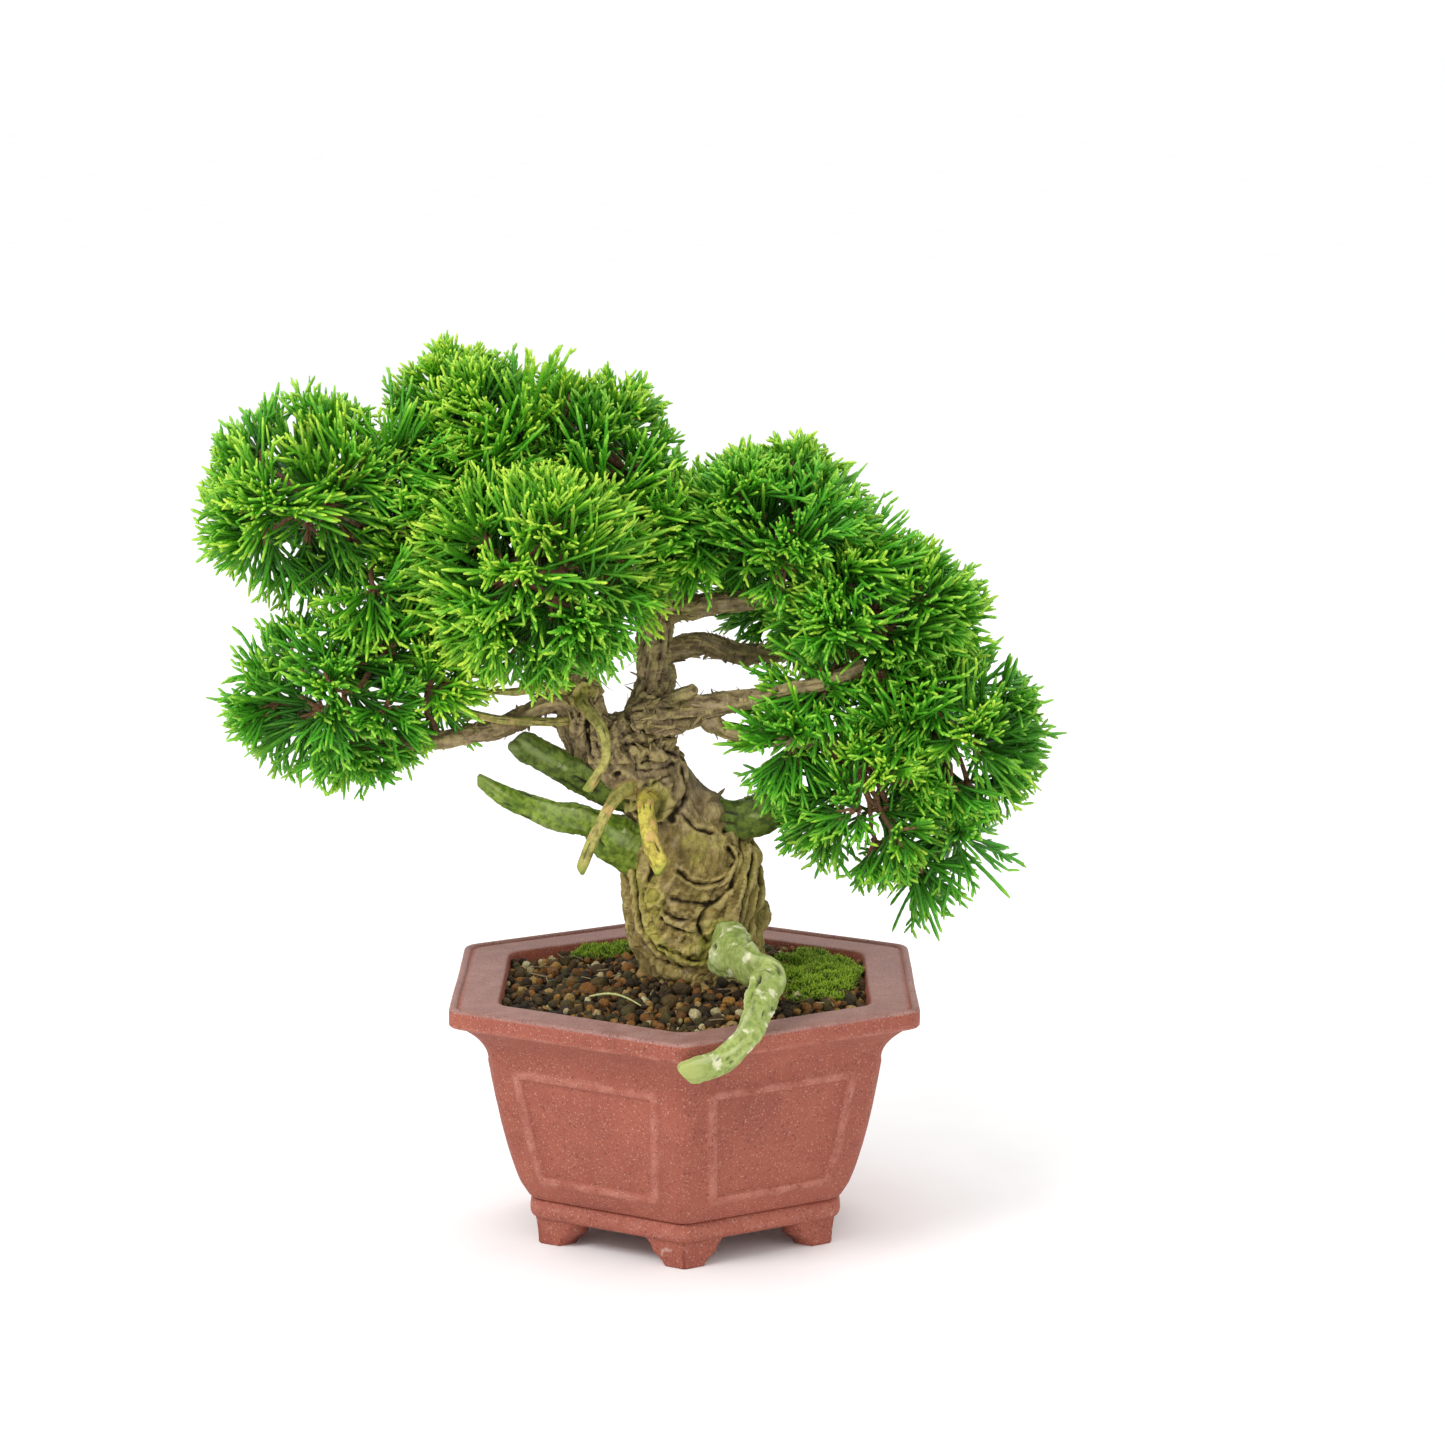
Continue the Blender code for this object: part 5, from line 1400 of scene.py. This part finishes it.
def grow_pad(name, tufts, look):
    """All the cords of one pad, with their barbs; the look is described at the table of looks."""
    low, high = (np.array(corner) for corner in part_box(name))
    low, high = (low - LIP) / MM, (high - LIP) / MM
    centre, halves = (low + high) / 2, (high - low) / 2 * look.get("trim", 1.0)
    golden = np.arange(tufts) * 2.399963 + len(twig_runs)
    height = 1 - 2 * (np.arange(tufts) + 0.5) / tufts
    flat = np.sqrt(1 - height**2)
    ways = np.stack([flat * np.cos(golden), flat * np.sin(golden), height], -1)
    ways = unit(ways + 0.15 * leaf_rng.normal(size=ways.shape))
    depth = np.where(np.arange(tufts) % 4 == 3, 0.22, leaf_rng.uniform(0.42, 0.62, tufts))
    hearts = centre + ways * halves * depth[:, None]
    rooms = []
    for *spot, free in look.get("more", ()):
        hearts = np.vstack([hearts, spot])
        ways = np.vstack([ways, unit(np.array(spot) - centre)])
        depth = np.append(depth, 0.5)
        rooms.append(free)
    roots, headings, lifts, lengths, tints, plane, order = [], [], [], [], [], [], []
    bases, starts, owner = [], [], []
    for number, (heart, way, inner) in enumerate(zip(hearts, ways, depth)):
        # painted light: tufts facing up or towards the front are made brighter and yellower, on top of the
        # pad's painted light
        tuft_light = look["light"] + 0.17 * leaf_rng.normal() + 0.16 * way[2] - 0.12 * way[1]
        sprays = int(leaf_rng.integers(9, 13) * quick_share * look.get("full", 1.0)) + 1
        for _ in range(sprays):
            spray = unit(leaf_rng.normal(size=3))
            out = unit(way * 0.85 + spray * 0.95 + np.array([0, 0, look["lift"]]))
            base = heart + out * leaf_rng.uniform(1.5, 7)
            bases.append(base)
            starts.append(heart)
            count = leaf_rng.integers(6, 11)
            aside = unit(np.cross(out, unit(leaf_rng.normal(size=3) * 0.8 + np.array([0, -0.3, 1.0]))))
            over = np.cross(aside, out)
            young_and_lit = np.clip(tuft_light + 0.16 * leaf_rng.normal(), 0, 1)
            reach = leaf_rng.uniform(0.84, 1.14)
            most = leaf_rng.uniform(17, 27)
            for angle in fan(count, 38):
                opened = out * math.cos(angle) + aside * math.sin(angle)
                heading = unit(opened + over * leaf_rng.normal() * 0.2)
                root = base + out * leaf_rng.uniform(-1, 5) + leaf_rng.normal(size=3) * 0.6
                if number < tufts:
                    room = to_edge(root, heading, centre, halves * 0.96)
                else:
                    room = rooms[number - tufts]
                lengths.append(np.clip(room * reach * leaf_rng.uniform(0.82, 1.1), 7, most))
                roots.append(root)
                headings.append(heading)
                lifts.append(0.15 * out + np.array([0, 0, look["rise"]]) + 0.07 * leaf_rng.normal(size=3))
                tints.append(np.clip(young_and_lit + 0.12 * leaf_rng.normal(), 0, 1))
                plane.append(over)
                order.append(inner + 0.12)
                owner.append(number)
    roots, headings, lifts, plane = (np.array(a) for a in (roots, headings, lifts, plane))
    lengths, tints, order = np.array(lengths), np.array(tints), np.array(order)
    girth = leaf_rng.uniform(0.5, 0.66, len(roots))
    ends = roots + headings * lengths[:, None] + lifts * lengths[:, None]
    beyond = np.linalg.norm((ends - centre) / (halves + 1.0), axis=1)
    within = np.arange(len(roots)) < (np.array(owner) < tufts).sum()
    lengths = lengths * np.where(within, np.clip(1.0 / np.maximum(beyond, 1.0), 0.5, 1), 1)
    lengths = lengths * np.where(leaf_rng.uniform(size=len(roots)) < 0.05, 1.22, 1)
    rings, path, ahead, side = cord_rings(
        roots, headings, lifts, lengths, girth, CORD_ROWS, CORD_SIDES, CORD_TAPER
    )
    points = [rings.reshape(-1, 3)]
    quads, caps = cord_faces(len(roots), CORD_ROWS, CORD_SIDES, 0)
    faces = [quads, caps]
    along = np.tile(np.repeat(np.linspace(0, 1, CORD_ROWS), CORD_SIDES), len(roots))
    per_cord = CORD_ROWS * CORD_SIDES
    shade = [np.stack([np.repeat(tints, per_cord), along, np.repeat(order, per_cord)], -1)]
    barb_root, barb_way, barb_lift, barb_length, barb_tint, barb_from, barb_order = [], [], [], [], [], [], []
    feathered = leaf_rng.uniform(size=len(roots)) < look["barbs"]
    for cord in np.nonzero(feathered)[0]:
        count = leaf_rng.integers(2, 6)
        for number, t in enumerate(np.linspace(0.46, 0.92, count) + leaf_rng.normal(size=count) * 0.03):
            spot = t * (CORD_ROWS - 1)
            row = min(int(spot), CORD_ROWS - 2)
            here = path[cord, row] + (path[cord, row + 1] - path[cord, row]) * (spot - row)
            forward = ahead[cord, row]
            across = unit(np.cross(forward, plane[cord])) * (1 if number % 2 else -1)
            across = unit(across + plane[cord] * leaf_rng.normal() * 0.35)
            angle = math.radians(leaf_rng.uniform(32, 50))
            barb_root.append(here)
            barb_way.append(forward * math.cos(angle) + across * math.sin(angle))
            barb_lift.append(0.2 * forward)
            barb_length.append(leaf_rng.uniform(0.65, 1.15) * (5.2 - 2.2 * abs(t - 0.55) / 0.45))
            barb_tint.append(np.clip(tints[cord] + 0.06 * leaf_rng.normal(), 0, 1))
            barb_from.append(t)
            barb_order.append(order[cord])
    if barb_root:
        barb_root, barb_way, barb_lift = (np.array(a) for a in (barb_root, barb_way, barb_lift))
        barb_length, barb_tint, barb_from = np.array(barb_length), np.array(barb_tint), np.array(barb_from)
        barb_girth = leaf_rng.uniform(0.44, 0.58, len(barb_root))
        rings, *_ = cord_rings(
            barb_root, barb_way, barb_lift, barb_length, barb_girth, BARB_ROWS, BARB_SIDES, BARB_TAPER
        )
        quads, caps = cord_faces(len(barb_root), BARB_ROWS, BARB_SIDES, len(points[0]))
        faces += [quads, caps]
        points.append(rings.reshape(-1, 3))
        per_barb = BARB_ROWS * BARB_SIDES
        rise = np.repeat(np.linspace(0, 1, BARB_ROWS), BARB_SIDES)[None]
        rise = barb_from[:, None] * (1 - rise) + (0.45 + 0.6 * barb_from)[:, None].clip(0, 1) * rise
        fields = [np.repeat(barb_tint, per_barb), rise.ravel(), np.repeat(barb_order, per_barb)]
        shade.append(np.stack(fields, -1))
    made = mesh_object(name + "_cords", at(np.concatenate(points)), faces, needle, [name])
    store(made.data, "shade", np.concatenate(shade))
    cord_u = np.tile(np.arange(CORD_SIDES) / CORD_SIDES, CORD_ROWS)[None]
    cord_v = np.repeat(np.linspace(0, 1, CORD_ROWS), CORD_SIDES)[None]
    total = len(roots)
    places = [cells(total, cord_u, cord_v, 64) * [1, 0.6]]
    if len(barb_root):
        barb_u = np.tile(np.arange(BARB_SIDES) / BARB_SIDES, BARB_ROWS)[None]
        barb_v = np.repeat(np.linspace(0, 1, BARB_ROWS), BARB_SIDES)[None]
        places.append(cells(len(barb_root), barb_u, barb_v, 96) * [1, 0.39] + [0, 0.605])
    store_uv(made.data, np.concatenate(places))
    twig_runs.append((name, hearts, ways, np.array(bases), np.array(starts)))
    return len(roots), len(barb_root), len(made.data.polygons)


# %% [markdown]
# The cords are waxy: a soft, narrow gloss over a deep green. Colour runs from a
# dark bluish green at the cords' roots to yellow-green at the youngest tips, with the
# seams of the scales as faint darker bands every 1.2 mm. Cords deep in a pad are
# darkened as painted shade, and tufts that face up or to the front, and the pads in
# front, are painted brighter and yellower as painted light.

# %%
needle, tree, surface, where = new_material("juniper_scale_needles")
shade = stored(tree, "shade", "Vector")
parts = split(tree, shade)
OLD_AND_SHADED_STOPS = [(0.0, "#2f6a0c"), (0.45, "#3f8f18"), (0.86, "#52ae1c"), (1.0, "#96d83c")]
YOUNG_AND_LIT_STOPS = [(0.0, "#3f8414"), (0.5, "#5cb01c"), (0.82, "#82ca26"), (1.0, "#d2f24a")]
old = node(tree, "ValToRGB", {"stops": OLD_AND_SHADED_STOPS}, Fac=parts[1])
young_and_lit = node(tree, "ValToRGB", {"stops": YOUNG_AND_LIT_STOPS}, Fac=parts[1])
# partly new growth, partly painted light: bright tints come from youth and from how lit the tuft and pad are
# painted
youth_and_light = node(tree, "MapRange", Value=parts[0], From_Min=0.3, From_Max=0.95)
tone = mixed(tree, youth_and_light, old, young_and_lit)
# painted shade: cords deep inside the pad are darkened
painted_depth_shade = node(tree, "MapRange", Value=parts[2], From_Min=0.62, From_Max=0.28)
tone = mixed(tree, times(tree, painted_depth_shade, 0.35), tone, "#173c08")
seams = speckle(tree, where, 0.6, 0.35, 0.65, 1)
tone = mixed(tree, times(tree, seams, 0.28), tone, "#1d5408")
finish_surface(tree, surface, tone, 0.42, seams, 0.12, 1.45)
surface.inputs["Subsurface Weight"].default_value = 0.0
surface.inputs["Specular IOR Level"].default_value = 0.45

# How each pad looks: its number of tufts, then "light" (painted light: how brightly the pad is painted as
# lit, low for pads at the back), "barbs" (share of cords with barbs), "lift" (of the shoots), "rise" (of the
# tips), "trim" (how much of the pad's box it fills), "full" (how dense) and "more": extra tufts (x, y, z and
# their free room, in mm).
LOOKS = {
    "foliage_left_low": (11, {"full": 0.85, "light": 0.36, "barbs": 0.45, "lift": 0.0, "rise": 0.02,
        "more": [(-96, -14, 112, 20), (-82, -16, 100, 15)]}),
    "foliage_left_outer": (12, {"light": 0.46, "barbs": 0.45, "lift": 0.15, "rise": 0.05,
        "more": [(-94, -2, 170, 21), (-90, -8, 150, 20), (-100, -12, 132, 18)]}),
    "foliage_left_inner": (8, {"light": 0.3, "barbs": 0.4, "lift": 0.2, "rise": 0.05,
        "more": [(-86, 10, 134, 20)]}),
    "foliage_top_left": (9, {"light": 0.5, "barbs": 0.5, "lift": 0.35, "rise": 0.08,
        "more": [(-66, -4, 164, 21)]}),
    "foliage_top": (10, {"light": 0.52, "barbs": 0.5, "lift": 0.35, "rise": 0.08, "trim": 0.92,
        "more": [(-26, -6, 158, 20), (-52, 4, 178, 20), (-6, -4, 150, 16)]}),
    "foliage_front": (13, {"light": 0.58, "barbs": 0.6, "lift": 0.12, "rise": 0.02}),
    "foliage_right_top": (12, {"light": 0.42, "barbs": 0.5, "lift": 0.3, "rise": 0.05, "trim": 0.95,
        "more": [(6, -4, 144, 16), (48, -2, 136, 20)]}),
    "foliage_right_mid": (10, {"light": 0.42, "barbs": 0.5, "lift": 0.15, "rise": 0.04, "trim": 0.93,
        "more": [(74, -8, 100, 20), (46, -14, 102, 16), (37, -17, 84, 17)]}),
    "foliage_right_outer": (11, {"light": 0.38, "barbs": 0.45, "lift": 0.05, "rise": 0.0,
        "trim": 0.95, "full": 0.85,
        "more": [(72, -14, 84, 20), (88, -10, 52, 17)]}),
    "foliage_right_hang": (11, {"light": 0.38, "barbs": 0.45, "lift": -0.1, "rise": -0.04,
        "trim": 0.84, "full": 0.55,
        "more": [(40, -14, 82, 14), (42, -10, 92, 13), (74, -12, 42, 14)]}),
    "foliage_back": (9, {"light": 0.3, "barbs": 0.4, "lift": 0.2, "rise": 0.04}),
    "foliage_back_right": (9, {"light": 0.3, "barbs": 0.4, "lift": 0.15, "rise": 0.03}),
}
for pad, (tufts, look) in LOOKS.items():
    print(pad, "cords, barbs, faces:", *grow_pad(pad, tufts, look))

# %% [markdown]
# ## Twigs inside the pads
# Between the branches and the green shoots run thin brown twigs; they show in the
# gaps of the foliage. Each tuft hangs on one twig that leaves the nearest part of
# its branch in the branch's own direction, and short stalks lead to the shoots.

# %%
twig_bark, tree, surface, where = new_material("young_brown_bark")
tint = stored(tree, "tint")
TWIG_STOPS = [(0.0, "#5d4433"), (0.4, "#8c6444"), (0.75, "#a97c56"), (1.0, "#66842f")]
tone = node(tree, "ValToRGB", {"stops": TWIG_STOPS}, Fac=tint)
scaly = speckle(tree, where, 0.9, 0.35, 0.65, 4)
tone = mixed(tree, times(tree, scaly, 0.5), tone, "#35241a")
finish_surface(tree, surface, tone, 0.8, scaly, 0.25, 1.45)

TWIG_SIDES = 6
twig_points, twig_faces, twig_tints, start = [], [], [], 0


def add_twig(path, girths, tints):
    """One thin twig along a path, rough and knobby."""
    global start
    knobs = 1 + 0.22 * leaf_rng.normal(size=(len(path), TWIG_SIDES))
    rings = tube_points(path, girths, TWIG_SIDES)
    rings = path[:, None] + (rings - path[:, None]) * knobs[..., None].clip(0.6, 1.5)
    twig_points.append(rings.reshape(-1, 3))
    twig_faces.append(grid_quads(len(path), TWIG_SIDES, start=start))
    twig_tints.append(np.repeat(tints, TWIG_SIDES))
    start += len(path) * TWIG_SIDES


def bent(first, first_way, last, last_way, count, wobble):
    """A curve that leaves one place in one direction and reaches another in another."""
    reach = np.linalg.norm(last - first)
    t = np.linspace(0, 1, count)[:, None]
    second, third = first + first_way * reach * 0.4, last - last_way * reach * 0.4
    curve = (1 - t) ** 3 * first + 3 * t * (1 - t) ** 2 * second
    curve = curve + 3 * t**2 * (1 - t) * third + t**3 * last
    sway = leaf_rng.normal(size=(count, 3)) * wobble
    sway[0] = sway[-1] = 0
    return curve + sway


for name, hearts, ways, bases, hearts_of in twig_runs:
    limb = runs[PADS[name]]
    limb_way = unit(np.gradient(limb[:, :3], axis=0))
    usable = slice(int(len(limb) * 0.35), None)
    for heart, way in zip(hearts, ways):
        away = np.linalg.norm(limb[usable, :3] - heart, axis=1)
        index = int(away.argmin() * 0.8) + int(len(limb) * 0.35)
        if away.min() > 1:
            path = bent(limb[index, :3], limb_way[index], heart + way * 2, way, 16, 0.25)
            add_twig(path, np.linspace(1.15, 0.75, 16), np.full(16, leaf_rng.uniform(0.1, 0.6)))
    for base, heart in zip(bases, hearts_of):
        out = unit(base - heart)
        path = bent(heart - out, out, base + out * 3.5, out, 7, 0.1)
        add_twig(path, np.linspace(0.7, 0.5, 7), np.linspace(0.35, 0.85, 7) * leaf_rng.uniform(0.8, 1.15))
points, faces = at(np.concatenate(twig_points)), np.concatenate(twig_faces)
twigs = mesh_object("foliage_twigs", points, faces, twig_bark, ())
store(twigs.data, "tint", np.clip(np.concatenate(twig_tints), 0, 1))


def twig_cells(rows):
    """A cell of the flat map for every twig, as if each had this many rings."""
    u, v = np.meshgrid(np.arange(TWIG_SIDES) / TWIG_SIDES, np.linspace(0, 1, rows))
    flat = cells(len(twig_points), u.reshape(1, -1), v.reshape(1, -1))
    return flat.reshape(len(twig_points), -1, 2)


laid_flat = {rows: twig_cells(rows) for rows in (16, 7)}
flat_map = [laid_flat[len(points) // TWIG_SIDES][index] for index, points in enumerate(twig_points)]
store_uv(twigs.data, np.concatenate(flat_map))
print("twigs:", len(twig_points), "with", len(twigs.data.polygons), "faces")

# %% [markdown]
# ## Floor, light and camera
# The tree stands on a seamless white floor under large soft lights, as in a small
# product studio. The key light is high on the left, a weaker one fills the right
# side and one behind edges the foliage. The camera stands 1.3 m away, a little
# above the tree, with a portrait lens, so the lines of the pot hardly converge.

# %%
paper, tree, surface, where = new_material("white_studio_paper")
fibre = speckle(tree, where, 40, 0.3, 0.7)
finish_surface(tree, surface, mixed(tree, fibre, "#f6f6f6", "#fafafa"), 0.9)
bpy.ops.mesh.primitive_plane_add(size=30, location=(LIP[0], LIP[1], 0))
floor = bpy.context.object
floor.name = "studio_floor"
floor.data.materials.append(paper)

scene = bpy.context.scene
scene.world = bpy.data.worlds.new("white_room")
scene.world.use_nodes = True
sky = scene.world.node_tree.nodes["Background"]
sky.inputs["Color"].default_value = (1, 1, 1, 1)
sky.inputs["Strength"].default_value = 1.06
scene.view_settings.view_transform = "Standard"


def softbox(name, side, power, place_m, aim_z=0.13):
    """A square area light aimed at the tree."""
    light = bpy.data.lights.new(name, "AREA")
    light.shape, light.size, light.energy = "SQUARE", side, power
    holder = bpy.data.objects.new(name, light)
    holder.location = Vector(place_m) + Vector((LIP[0], LIP[1], 0))
    aim = Vector((LIP[0], LIP[1], aim_z)) - holder.location
    holder.rotation_euler = aim.to_track_quat("-Z", "Y").to_euler()
    scene.collection.objects.link(holder)


softbox("key_left", 0.6, 14.0, (-0.9, -0.9, 1.25))
softbox("fill_right", 0.9, 2.0, (1.3, -0.9, 0.8))
softbox("rim_back", 0.8, 4.0, (0.3, 1.2, 1.2))

LENS_MM, DISTANCE_M, LOOKING_DOWN_DEG = 101.04, 1.3238, 10.76
AIM_RIGHT_MM, AIM_HEIGHT_MM = 12.24, 168.29
camera = bpy.data.cameras.new("camera")
camera.lens = LENS_MM
camera.clip_start, camera.clip_end = 0.05, 60
holder = bpy.data.objects.new("camera", camera)
elevation = math.radians(LOOKING_DOWN_DEG)
aim = Vector((LIP[0] + AIM_RIGHT_MM * MM, LIP[1], AIM_HEIGHT_MM * MM))
holder.location = aim + Vector((0, -math.cos(elevation), math.sin(elevation))) * DISTANCE_M
holder.rotation_euler = (aim - holder.location).to_track_quat("-Z", "Y").to_euler()
scene.collection.objects.link(holder)
scene.camera = holder
print("the camera stands", DISTANCE_M, "m away and looks down by", LOOKING_DOWN_DEG, "degrees")
